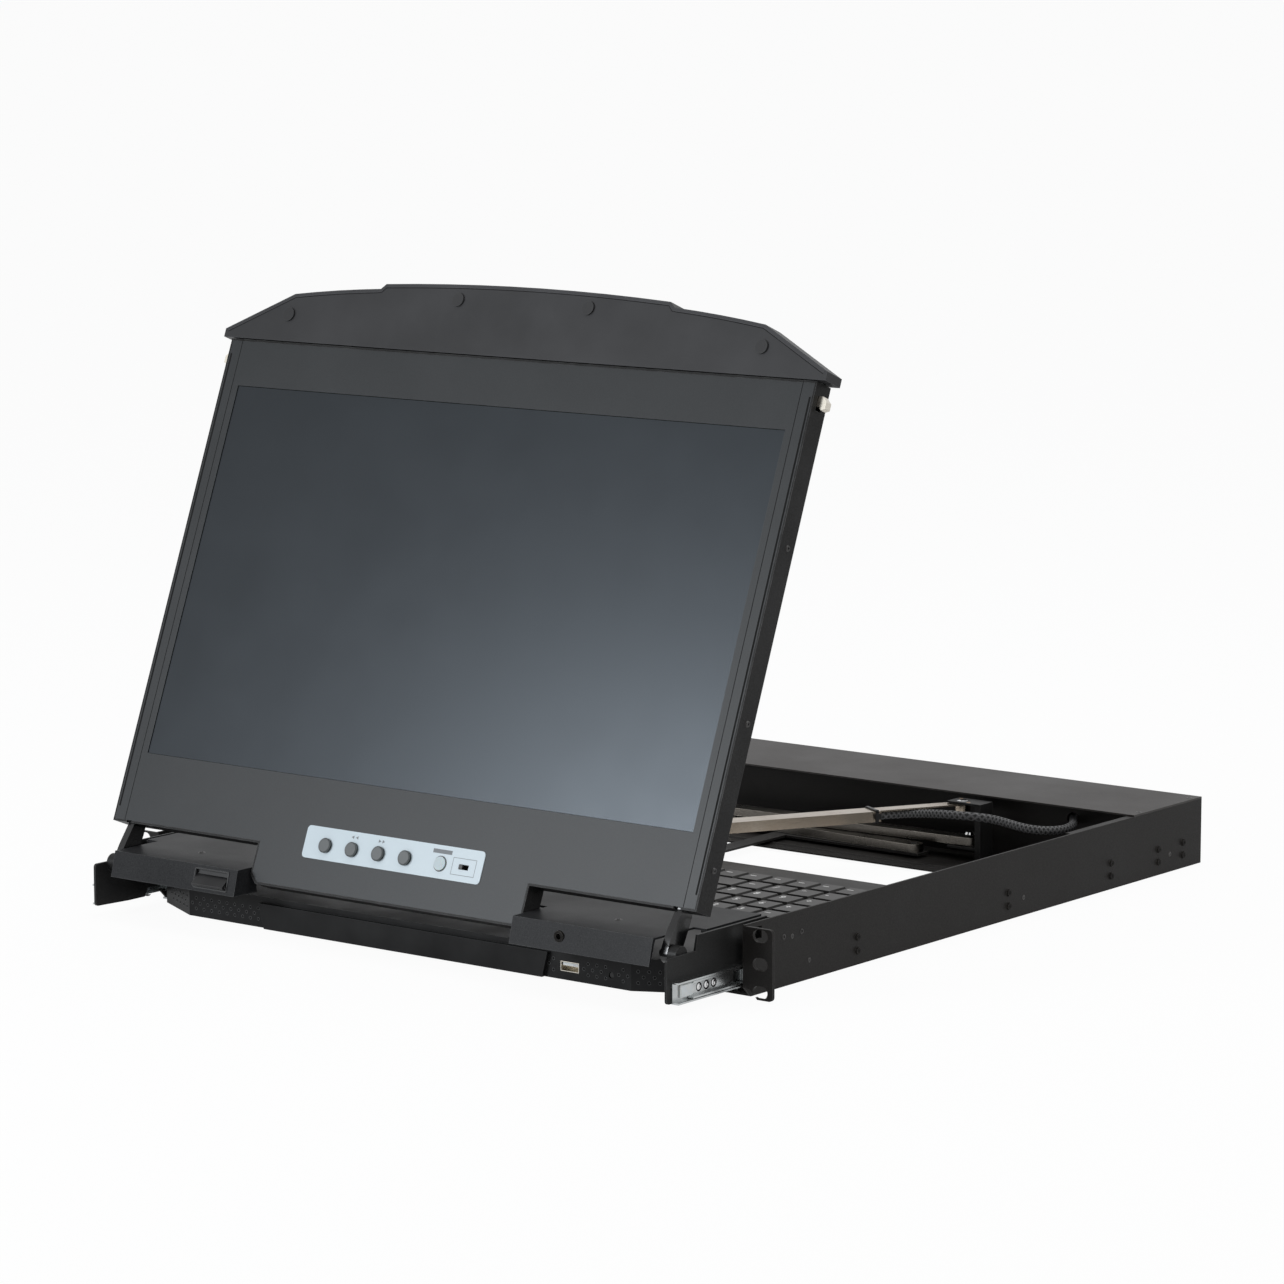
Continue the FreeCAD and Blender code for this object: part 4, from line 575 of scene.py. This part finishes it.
def moulded_group():
    """Moulded plastic: fine sparked grain, faint flow lines, and edges painted towards the second
    colour, partly as wear and partly as a painted highlight.
    """
    tree, given = new_group("moulded_grain", {
        "Colour": (COLOUR, (0.02, 0.02, 0.02, 1)), "Second": (COLOUR, (0.05, 0.05, 0.05, 1)),
        "Roughness": (NUMBER, 0.45), "Spread": (NUMBER, 0.08), "Grain": (NUMBER, 2600.0),
        "Edge": (NUMBER, 0.0005)}, FINISH_OUT)
    place = add(tree, "ShaderNodeTexCoord").outputs["Object"]
    grain = add(tree, "ShaderNodeTexVoronoi", {"Vector": place, "Scale": given.outputs["Grain"]})
    broad = add(tree, "ShaderNodeTexNoise", {"Vector": place, "Scale": 23.0,
                                             "Detail": 4.0}).outputs[0]
    # Edges take the second colour: a painted highlight, partly wear.
    edge = ranged(tree, rounding(tree, given.outputs["Edge"]), 0.995, 0.80, 0.0, 0.8)
    flow = mix_colour(tree, ranged(tree, broad, 0.35, 0.75, 0.0, 0.35),
                      given.outputs["Colour"], given.outputs["Second"])
    colour = mix_colour(tree, edge, flow, given.outputs["Second"])
    return close_group(tree, Colour=colour, Roughness=spread_roughness(tree, given, broad),
                       Height=grain.outputs["Distance"])


def block(shape, low, high, soften=0.0):
    """Adds a box to a mesh under construction, its edges softened where asked."""
    middle = (Vector(low) + Vector(high)) / 2
    size = Vector(high) - Vector(low)
    made = bmesh.ops.create_cube(shape, size=1.0)["verts"]
    bmesh.ops.scale(shape, vec=size, verts=made)
    bmesh.ops.translate(shape, vec=middle, verts=made)
    if soften:
        edges = {edge for vert in made for edge in vert.link_edges}
        bmesh.ops.bevel(shape, geom=list(edges), offset=soften, segments=2, affect="EDGES")


moulded_grain = moulded_group()
nylon = finish("white_nylon", moulded_grain, 0.05, 0.0001, shader={"Subsurface Weight": 0.1},
               Colour=(0.88, 0.88, 0.86), Second=(0.78, 0.78, 0.76), Roughness=0.4)
low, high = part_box("screen_rail_middle")
web_face, web_back = 0.2170, 0.2161
stop_face = web_face + 0.0003
lip = 0.0013
first_ball, ball_pitch, ball_radius, flattened = 0.0085, 0.0068, 0.0020, 0.17
blocks, balls, pockets = bmesh.new(), bmesh.new(), bmesh.new()
for side in (1, -1):
    outward = Matrix.Rotation(side * math.radians(90), 4, "Y")
    ends = sorted((side * web_back, side * stop_face))
    block(blocks, (ends[0], low.y - 0.0080, low.z + lip),
          (ends[1], low.y + 0.0035, high.z - lip), 0.0003)
    for step in range(3):
        place = Matrix.Translation((side * web_face, low.y + first_ball + step * ball_pitch,
                                    (low.z + high.z) / 2))
        bmesh.ops.create_uvsphere(balls, u_segments=24, v_segments=12, radius=ball_radius,
                                  matrix=place @ Matrix.Diagonal((flattened, 1, 1, 1)))
        washer(pockets, place @ outward, 0.0018, 0.0026, 0.0001)
riding(shaped("stop_blocks", blocks, nylon), "screen_slide_middle", "button_plastic")
# A dark ring round each ball is painted shade where the ball sits between the lips.
riding(shaped("ball_pockets", pockets, recess_dark), "screen_slide_middle", "rail_steel")
ball_steel = finish("ball_steel", rolled_metal, 0.02, 0.0001, metal=1.0,
                    Colour=(0.80, 0.80, 0.80), Stain=(0.5, 0.5, 0.5), Roughness=0.1, Spread=0.03)
riding(shaped("race_balls", balls, ball_steel, True), "screen_slide_middle", "rail_steel")

# ---------------------------------------------------------------- screen
# The screen is a folded steel cover with a satin bezel sheet set in its rim, and a matt panel
# behind the opening. A fine seam runs down each side where the rim's return meets the sheet;
# the seam line and the gap by the rim are dark strips of painted shade.
hinge_line = (0.0, -0.047, 0.031 - mid_height)
leaning_back = math.radians(21.45)
upright = Matrix.Translation(hinge_line) @ Matrix.Rotation(-leaning_back, 4, "X")


def on_panel(made):
    """Lays a piece drawn in the panel's own frame onto the leaning panel."""
    made.data.transform(upright)
    return made


screen_satin = finish("screen_satin", pebbled_coat, 0.22, 0.0001, gloss=0.34,
                      Colour=(0.0100, 0.0120, 0.0135), Rubbed=(0.06, 0.063, 0.066), Roughness=0.42,
                      Spread=0.012, Grain=2100.0, Edge=0.0004)
cover_satin = finish("cover_satin", pebbled_coat, 0.15, 0.0001, gloss=0.12,
                     Colour=(0.0045, 0.0042, 0.004), Rubbed=(0.14, 0.14, 0.14), Roughness=0.42,
                     Spread=0.05, Grain=1800.0, Edge=0.0005)
dress(screen_satin, "screen_bezel")
dress(cover_satin, "screen_back_cover")

glass = finish("matt_panel", moulded_grain, 0.03, 0.00005,
               shader={"Specular Tint": (0.80, 0.90, 1.0, 1)},
               Colour=(0.0020, 0.0026, 0.0034), Second=(0.0026, 0.0032, 0.004), Roughness=0.30,
               Spread=0.015, Grain=3200.0, Edge=0.0001)
dress(glass, "display_panel")

for name, out, half, bottom, top in (("bezel_seams", 0.2098, 0.0002, 0.026, 0.3272),
                                     ("rim_gaps", 0.2165, 0.0006, 0.034, 0.318)):
    strips = bmesh.new()
    for side in (1, -1):
        block(strips, (side * out - half, -0.00306, bottom), (side * out + half, -0.0028, top))
    riding(on_panel(shaped(name, strips, recess_dark)), "screen", "screen_paint")

sides, turned = [], []
for side in (1, -1):
    for up in (0.0495, 0.1326, 0.233):
        sides.append(upright @ Vector((side * 0.219, 0.005, up)))
        turned.append((side, 0, 0))
heads_on("side_screws", "screen", "screw_steel", sides, turned, (0.0019, 0.0006, 0.95),
         screw_black, "screen_screws")

# ---------------------------------------------------------------- hood
# A moulded hood caps the screen and carries its release bar. Four rubber buttons on its face keep
# the closed screen off the keyboard, and a steel hook stands out on each side.
hood_grey = finish("hood_grey", moulded_grain, 0.12, 0.0001, gloss=0.34,
                   Colour=(0.0145, 0.0147, 0.0160), Second=(0.055, 0.055, 0.058), Roughness=0.44,
                   Spread=0.015, Edge=0.0007)
bar_grey = finish("bar_grey", moulded_grain, 0.12, 0.0001, gloss=0.3,
                  Colour=(0.010, 0.010, 0.0105), Second=(0.055, 0.055, 0.056), Roughness=0.45)
rubber = finish("bumper_rubber", moulded_grain, 0.3, 0.0001, gloss=0.35,
                Colour=(0.010, 0.010, 0.011), Second=(0.05, 0.05, 0.05), Roughness=0.5,
                Grain=1800.0)
dress(hood_grey, "hood")
dress(bar_grey, "release_bar")
dress(rubber, "hood_bumpers")


def bowed(start, end, radius, parts=24):
    """Points of a shallow outward arc from one point to another."""
    start, end = Vector(start), Vector(end)
    chord = end - start
    away = Vector((chord.y, -chord.x)).normalized()
    middle = (start + end) / 2 + away * math.sqrt(radius ** 2 - (chord.length / 2) ** 2)
    first = start - middle
    turn = first.angle_signed(end - middle)
    return [middle + Matrix.Rotation(-turn * step / parts, 2) @ first
            for step in range(parts + 1)]


def inset(points, gap):
    """Open line moved to its inner side by a gap."""
    moved = []
    for number, point in enumerate(points):
        before = points[max(number - 1, 0)]
        after = points[min(number + 1, len(points) - 1)]
        way = (after - before).normalized()
        moved.append(point + Vector((way.y, -way.x)) * gap)
    return moved


def ribbon(shape, line, outer, inner, face, thick):
    """Adds a flat strip that follows a line on an upright face."""
    edges = [inset(line, gap) for gap in (outer, inner)]
    rows = [[shape.verts.new((spot.x, y, spot.y)) for spot in edge]
            for edge in edges for y in (face, face - thick)]
    for first, second in ((0, 1), (1, 3), (3, 2), (2, 0)):
        for a, b, c, d in zip(rows[first], rows[first][1:], rows[second][1:], rows[second]):
            shape.faces.new((a, b, c, d))
    for end in (0, -1):
        shape.faces.new([rows[row][end] for row in (0, 1, 3, 2)])


arch = [Vector((-0.2235, 0.3337)), *bowed((-0.176, 0.3575), (-0.110, 0.364), 0.9),
        *bowed((-0.1065, 0.3672), (0.1065, 0.3672), 1.75),
        *bowed((0.110, 0.364), (0.176, 0.3575), 0.9), Vector((0.2235, 0.3337))]
hood_face = -0.0040
rim_grey = finish("rim_grey", moulded_grain, 0.12, 0.0001, gloss=0.34,
                  Colour=(0.022, 0.022, 0.024), Second=(0.075, 0.075, 0.08), Roughness=0.4,
                  Spread=0.015)
# The rim line is a thin dark strip of painted shade inside the rim.
for name, outer, inner, thick, paint in (("hood_rim", 0.0003, 0.0022, 0.00012, rim_grey),
                                         ("hood_rim_line", 0.0023, 0.0027, 0.00005, recess_dark)):
    strip = bmesh.new()
    ribbon(strip, arch, outer, inner, hood_face, thick)
    riding(on_panel(shaped(name, strip, paint)), "screen", "hood_plastic")
hook_steel = finish("hook_steel", rolled_metal, 0.05, 0.0001, metal=1.0,
                    Colour=(0.85, 0.80, 0.70), Stain=(0.6, 0.55, 0.46), Roughness=0.3, Spread=0.06)
dress(hook_steel, "hook_left", "hook_right")

# ---------------------------------------------------------------- controls
# A pale film label with rounded corners surrounds four menu keys, a lit power key and a slide
# switch in its window. Small arrow marks are printed over the middle keys.
film = finish("label_film", moulded_grain, 0.03, 0.00005, gloss=0.5,
              Colour=(0.50, 0.58, 0.62), Second=(0.56, 0.64, 0.68), Roughness=0.33, Spread=0.03,
              Grain=3000.0, Edge=0.0001)
key_grey = finish("menu_key_grey", moulded_grain, 0.1, 0.0001, gloss=0.5,
                  Colour=(0.040, 0.046, 0.047), Second=(0.12, 0.135, 0.135), Roughness=0.38)
key_pale = finish("power_key_pale", moulded_grain, 0.05, 0.0001,
                  shader={"Subsurface Weight": 0.15}, Colour=(0.42, 0.48, 0.5),
                  Second=(0.55, 0.6, 0.62), Roughness=0.35)
switch_black = finish("switch_black", moulded_grain, 0.1, 0.0001, gloss=0.4,
                      Colour=(0.008, 0.008, 0.008), Second=(0.03, 0.03, 0.03), Roughness=0.4)
print_ink = finish("print_ink", moulded_grain, 0.05, 0.00005, gloss=0.2,
                   Colour=(0.20, 0.215, 0.225), Second=(0.26, 0.27, 0.28), Roughness=0.55)
dress(film, "control_label")
key_level, key_radius, key_edge = 0.0291, 0.0044, 0.0037
menu_keys = [-0.0503 + number * 0.0201 for number in range(4)]
to_front = Matrix.Rotation(math.radians(90), 4, "X")
for number, middle in enumerate(menu_keys):
    key = bmesh.new()
    block(key, (middle - 0.0030, -0.0045, 0.0265), (middle + 0.0030, 0.0022, 0.0317))
    for top, forward, depth in ((key_radius, -0.0046, 0.0006), (key_edge, -0.0051, 0.0004)):
        place = Matrix.Translation((middle, forward, key_level)) @ to_front
        bmesh.ops.create_cone(key, cap_ends=True, segments=40, radius1=key_radius, radius2=top,
                              depth=depth, matrix=place)
    riding(on_panel(shaped(f"menu_key_{number + 1}", key, key_grey)), f"button_{number + 1}",
           "button_plastic", f"control_button_{number + 1}")
dress(key_pale, "power_button")
dress(switch_black, "mode_switch")


print_thick, print_sunk = 0.00003, 0.0001


def outline_ring(shape, x, z, half_x, half_z, wide, face):
    """Adds a thin printed frame on a face."""
    for low_x, high_x, low_z, high_z in (
            (x - half_x, x + half_x, z - half_z, z - half_z + wide),
            (x - half_x, x + half_x, z + half_z - wide, z + half_z),
            (x - half_x, x - half_x + wide, z - half_z, z + half_z),
            (x + half_x - wide, x + half_x, z - half_z, z + half_z)):
        block(shape, (low_x, face - print_thick, low_z), (high_x, face + print_sunk, high_z))


prints = bmesh.new()
label_face = -0.0034
arrow_level = 0.0365
for centre, way in ((-0.0316, -1), (-0.0284, -1), (-0.0113, 1), (-0.0085, 1)):
    corners = [(centre + way * 0.0011, arrow_level)]
    corners += [(centre - way * 0.0008, arrow_level + up) for up in (-0.0010, 0.0010)]
    prints.faces.new([prints.verts.new((x, label_face - print_thick, z)) for x, z in corners])
outline_ring(prints, 0.0533, key_level, 0.0086, 0.0050, 0.0003, label_face)
block(prints, (0.0290, label_face - print_thick, 0.0350),
      (0.0430, label_face + print_sunk, 0.0374))
riding(on_panel(shaped("label_prints", prints, print_ink)), "screen", "label_film")
for name, middles, inner, outer, thick, paint in (
        ("key_collars", menu_keys, 0.0043, 0.0056, 0.00008, film),
        ("power_ring", [0.0360], 0.00415, 0.0047, 0.00010, key_grey)):
    collars = bmesh.new()
    for middle in middles:
        place = Matrix.Translation((middle, label_face + 0.00005, key_level)) @ to_front
        washer(collars, place, inner, outer, thick)
    riding(on_panel(shaped(name, collars, paint)), "screen", "label_film")

# ---------------------------------------------------------------- hinge arms and latch
# Two glossy black arms carry the screen on the pins of the carriage sides. The left wing has a
# moulded latch paddle in a framed window, and the right wing a socket screw in a ring.
gloss_black = finish("gloss_black", moulded_grain, 0.01, 0.00005,
                     gloss=0.4, shader={"Coat Weight": 0.3, "Coat Roughness": 0.08},
                     Colour=(0.003, 0.003, 0.0033), Second=(0.02, 0.02, 0.02), Roughness=0.24,
                     Spread=0.04, Edge=0.0004)
latch_black = finish("latch_black", moulded_grain, 0.1, 0.0001, gloss=0.3,
                     Colour=(0.008, 0.008, 0.0085), Second=(0.08, 0.08, 0.08), Roughness=0.4)
dress(gloss_black, "hinge_arms")
dress(latch_black, "latch_tab")
dress(rivet_black, "wing_screw")

wing_front, front_slope = -0.0573, 0.263
frame_bars = bmesh.new()
outline_ring(frame_bars, -0.1230, 0.0335 - mid_height, 0.0135, 0.0058, 0.0007, 0.0)
for vert in frame_bars.verts:
    vert.co.y += wing_front + (vert.co.z - wing_top) * front_slope
riding(shaped("latch_frame", frame_bars, latch_black), "carriage", "carriage_paint")

# ---------------------------------------------------------------- keyboard
# A steel tray holds a one-piece moulded deck with low key caps in six rows, a touchpad and its two
# buttons. The caps carry printed single letters, digits and signs.
tray_black = finish("tray_black", pebbled_coat, 0.2, 0.00015, gloss=0.25,
                    Colour=(0.009, 0.0085, 0.008), Rubbed=(0.07, 0.068, 0.066), Roughness=0.48,
                    Spread=0.05)
deck_black = finish("deck_black", moulded_grain, 0.15, 0.0001, gloss=0.25,
                    Colour=(0.0085, 0.008, 0.0075), Second=(0.05, 0.048, 0.046), Roughness=0.45)
cap_grey = finish("cap_grey", moulded_grain, 0.12, 0.0001, gloss=0.35,
                  Colour=(0.028, 0.0265, 0.0255), Second=(0.085, 0.082, 0.08), Roughness=0.42,
                  Spread=0.05, Edge=0.0005)
pad_grey = finish("pad_grey", moulded_grain, 0.1, 0.0001, gloss=0.4,
                  Colour=(0.026, 0.026, 0.027), Second=(0.05, 0.05, 0.05), Roughness=0.38)
legend_white = finish("legend_white", moulded_grain, 0.05, 0.00005, gloss=0.2,
                      Colour=(0.84, 0.84, 0.82), Second=(0.76, 0.76, 0.74), Roughness=0.55)
dress(tray_black, "keyboard_tray")
dress(deck_black, "keyboard_deck")
dress(cap_grey, *[f"key_row_{row}" for row in range(1, 7)])
dress(pad_grey, "touchpad", "touchpad_button_left", "touchpad_button_right")

KEY_WIDTHS = [
    [1] * 20, [1] * 13 + [2] + [1] * 4, [1.5] + [1] * 12 + [1.5] + [1] * 4,
    [1.75] + [1] * 11 + [2.25] + [1] * 4, [2.25] + [1] * 10 + [1.75] + [1] * 5,
    [1.25] * 3 + [5.25] + [1] * 6 + [2, 1, 1]]
KEY_MARKS = [
    " ,F1,F2,F3,F4,F5,F6,F7,F8,F9,F10,F11,F12, , , , , , , ",
    "`,1,2,3,4,5,6,7,8,9,0,-,=, , ,/,*,-",
    " ,Q,W,E,R,T,Y,U,I,O,P,[,],\\,7,8,9,+",
    " ,A,S,D,F,G,H,J,K,L,;,', ,4,5,6,+",
    " ,Z,X,C,V,B,N,M,<,.,/, ,^,1,2,3, ",
    " , , , , , ,<,v,>, ,0,.,="]


def legend(mark, x, y, z, size):
    """Mesh of one printed mark, flat on a cap."""
    text = bpy.data.curves.new("mark", "FONT")
    text.body = mark
    text.size = size
    text.extrude = 0.00002
    text.offset = 0.00018
    text.resolution_u = 2
    mesh = mesh_of(piece("mark", text))
    mesh.transform(Matrix.Translation((x, y, z)))
    return mesh


row_long, margin = 0.354, 0.0042
for row, (widths, marks_of) in enumerate(zip(KEY_WIDTHS, KEY_MARKS), start=1):
    low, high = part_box(f"key_row_{row}")
    unit = row_long / sum(widths)
    left = -row_long / 2
    printed = bmesh.new()
    for width, mark in zip(widths, marks_of.split(",")):
        corner = left + margin
        if mark == " ":
            bar_long = min(0.0042, width * unit * 0.3)
            block(printed, (corner, high.y - 0.0080, high.z),
                  (corner + bar_long, high.y - 0.0070, high.z + print_thick))
        else:
            size = 0.0072 if len(mark) == 1 else 0.0052
            printed.from_mesh(legend(mark, corner, high.y - 0.0098, high.z, size))
        left += width * unit
    riding(shaped(f"legends_{row}", printed, legend_white), f"keys_{row}", "key_plastic")

# ---------------------------------------------------------------- front bezel
# A hollow moulded nose closes the tray's front, pierced by small holes left and right over the
# vents. It has a socket with a plated shell and a small reset key.
bezel_black = finish("bezel_black", moulded_grain, 0.2, 0.0001, gloss=0.14,
                     Colour=(0.0075, 0.0075, 0.0078), Second=(0.05, 0.05, 0.05), Roughness=0.42)
dress(bezel_black, "front_bezel")
dress(switch_black, "reset_button")
shell_steel = finish("shell_plate", rolled_metal, 0.02, 0.0001, metal=1.0,
                     Colour=(0.80, 0.77, 0.70), Stain=(0.62, 0.57, 0.48), Roughness=0.16, Spread=0.04)
dress(shell_steel, "usb_port")


def vent_tree():
    """Rows of small round holes on an upright face: each a dark disc of painted shade in a lighter
    ring of painted highlight.
    """
    tree, given = new_group("vent_holes", {
        "Geometry": ("NodeSocketGeometry", None), "Radius": (NUMBER, 0.0008),
        "Hole": ("NodeSocketMaterial", None), "Rim": ("NodeSocketMaterial", None)},
        {"Geometry": "NodeSocketGeometry"}, "GeometryNodeTree")
    hole = add(tree, "GeometryNodeJoinGeometry")
    for share, depth, paint in ((1.0, 0.0002, "Hole"), (1.25, 0.00012, "Rim")):
        radius = math_of(tree, "MULTIPLY", given.outputs["Radius"], share)
        disc = add(tree, "GeometryNodeMeshCylinder", {"Radius": radius, "Depth": depth,
                                                      "Vertices": 12})
        painted = add(tree, "GeometryNodeSetMaterial", {"Geometry": disc.outputs["Mesh"],
                                                        "Material": given.outputs[paint]})
        tree.links.new(painted.outputs[0], hole.inputs[0])
    return set_on_points(tree, given, hole)


# The ring round each hole is painted much lighter than the nose: a painted highlight on the hole's
# edge.
hole_rim = finish("hole_rim", moulded_grain, 0.1, 0.0001, gloss=0.3,
                  Colour=(0.08, 0.08, 0.082), Second=(0.14, 0.14, 0.14), Roughness=0.4)
nose_face, nose_end = -0.031, 0.1666
hole_pitch, half_pitch = 0.0062, 0.0031
hole_rows = [0.0068 + row * 0.0032 - mid_height for row in range(3)]
socket_middle, reset_middle = 0.1233, 0.1526
chamfer = Vector((0.0364, 0.019, 0)).normalized()
holes, hole_ways = [], []
for side in (1, -1):
    for row, up in enumerate(hole_rows):
        for column in range(10):
            x = 0.1115 + column * hole_pitch - (row % 2) * half_pitch
            taken = abs(x - socket_middle) < 0.0095 or abs(x - reset_middle) < 0.0034
            if x < 0.1655 and not (side > 0 and taken):
                holes.append((side * x, nose_face, up))
                hole_ways.append((0, -1, 0))
    for row, up in enumerate(hole_rows):
        for column in range(5):
            along = 0.004 + column * hole_pitch + (row % 2) * half_pitch
            spot = Vector((nose_end, nose_face, 0)) + chamfer * along
            holes.append((side * spot.x, spot.y, up))
            hole_ways.append((side * chamfer.y, -chamfer.x, 0))
riding(grown("vent_holes", vent_tree(), spots(holes, hole_ways), Radius=0.0008, Hole=recess_dark,
             Rim=hole_rim),
       "keyboard", "bezel_plastic")

low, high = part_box("usb_port")
tongue_low, contact_thick = high.z - 0.0024, 0.00006
tongue = bmesh.new()
block(tongue, (low.x + 0.0012, low.y + 0.0008, tongue_low),
      (high.x - 0.0012, low.y + 0.010, high.z - 0.0008))
riding(shaped("socket_tongue", tongue, nylon), "keyboard", "socket_metal")
contacts = bmesh.new()
for step in range(4):
    x = low.x + 0.0030 + step * 0.0025
    block(contacts, (x - 0.0005, low.y + 0.0010, tongue_low - contact_thick),
          (x + 0.0005, low.y + 0.008, tongue_low))
riding(shaped("socket_contacts", contacts, brass), "keyboard", "socket_metal")

# ---------------------------------------------------------------- folding arms and sleeve
# The arms fold behind the screen and guide the leads. Turned pins head their pivots, a tie holds
# the sleeve on the upper arm, and the sleeve hangs in a loop behind the pivot. The braid is a
# plain weave of fine black strands.


def braid_group():
    """Crossing strands over the sleeve's own length and girth; the crowns are painted lighter as a
    painted highlight and the hollows dark as painted shade.
    """
    tree, given = new_group("crossed_strands", {
        "Colour": (COLOUR, (0.01, 0.01, 0.01, 1)), "Strand": (COLOUR, (0.08, 0.08, 0.08, 1)),
        "Roughness": (NUMBER, 0.5), "Along": (NUMBER, 60.0), "Around": (NUMBER, 12.0)}, FINISH_OUT)
    place = add(tree, "ShaderNodeTexCoord").outputs["UV"]
    parts = add(tree, "ShaderNodeSeparateXYZ", {0: place})
    along = math_of(tree, "MULTIPLY", parts.outputs[0], given.outputs["Along"])
    around = math_of(tree, "MULTIPLY", parts.outputs[1], given.outputs["Around"])
    waves = []
    for operation in ("ADD", "SUBTRACT"):
        phase = math_of(tree, "MULTIPLY", math_of(tree, operation, along, around), 2 * math.pi)
        waves.append(math_of(tree, "SINE", phase, 0.0))
    top = math_of(tree, "MAXIMUM", *waves)
    height = ranged(tree, top, -0.4, 1.0)
    # Strand crowns take the lighter colour and the hollows the dark one: painted highlight and painted
    # shade.
    colour = mix_colour(tree, height, given.outputs["Colour"], given.outputs["Strand"])
    rough = ranged(tree, height, 0.0, 1.0, 0.75, 0.42)
    return close_group(tree, Colour=colour, Roughness=rough, Height=height)


crossed_strands = braid_group()
loop_braid, arm_braid = [
    finish(name, crossed_strands, 0.8, 0.0005, gloss=0.5,
           Colour=(0.002, 0.002, 0.002), Strand=(0.09, 0.09, 0.092), Along=turns, Around=4.0)
    for name, turns in (("loop_braid", 34.0), ("arm_braid", 23.0))]


def run_length(curve):
    """Length of a curve's own line."""
    bare = curve.data.copy()
    bare.bevel_depth = 0.0
    points = [vert.co for vert in mesh_of(piece("bare", bare)).vertices]
    return sum((b - a).length for a, b in zip(points, points[1:]))


loop_sleeve.data.materials.append(loop_braid)
arm_sleeve.data.materials.append(arm_braid)
loop_long = run_length(loop_sleeve)
riding(loop_sleeve, "chassis", "sleeve_braid", "cable_sleeve_loop")

arm_sleeve = piece("arm_sleeve", mesh_of(arm_sleeve))
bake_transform(arm_sleeve)
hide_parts("cable_sleeve_arm")

tie = bmesh.new()
tie_half, tie_reach, tie_rise = 0.0012, 0.0082, 0.0042
for low, high in (((-tie_half, -tie_reach, 0.0035), (tie_half, tie_reach, tie_rise)),
                  ((-tie_half, -tie_reach, -tie_rise), (tie_half, tie_reach, -0.0035)),
                  ((-tie_half, 0.0072, -tie_rise), (tie_half, tie_reach, tie_rise)),
                  ((-tie_half, -tie_reach, -tie_rise), (tie_half, -0.0072, tie_rise))):
    block(tie, low, high, 0.0002)
block(tie, (-0.0022, -0.0100, -0.0016), (0.0022, -0.0072, 0.0022), 0.0005)
tie_place = Matrix.Translation(from_middle((0.0700, 0.3392, 0.0348)))
bmesh.ops.transform(tie, matrix=tie_place @ Matrix.Rotation(math.radians(60), 4, "Z"),
                    verts=tie.verts)
riding(shaped("cable_tie", tie, switch_black), "upper_link_rear", "hood_plastic")

low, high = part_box("arm_anchor")
for name, places, radius, height, metal in (
        ("top_pivot_head", [(0.102, 0.393, high.z)], 0.0036, 0.00005, polished),
        ("tab_rivets", [(0.0975, 0.3980, high.z), (0.1090, 0.3890, high.z)], 0.0014, 0.00005,
         brass),
        ("low_pivot_head", [(0.106, 0.396, 0.0181 - mid_height)], 0.0036, 0.0014, polished)):
    heads_on(name, "chassis", "arm_nickel", places, [(0, 0, 1)] * len(places),
             (radius, height, 0.9), metal)

# ---------------------------------------------------------------- rear box
# The rear box holds the controller board and carries the mains inlet, its rocker switch and the
# block of sockets on the back wall.
board_green = finish("board_green", moulded_grain, 0.1, 0.0001, gloss=0.5,
                     Colour=(0.01, 0.05, 0.022), Second=(0.03, 0.1, 0.05), Roughness=0.35)
inlet_black = finish("inlet_black", moulded_grain, 0.12, 0.0001, gloss=0.45,
                     Colour=(0.012, 0.012, 0.012), Second=(0.05, 0.05, 0.05), Roughness=0.4)
dress(board_green, "main_board")
dress(inlet_black, "inlet_socket", "rocker_switch")
dress(bracket, "port_block")
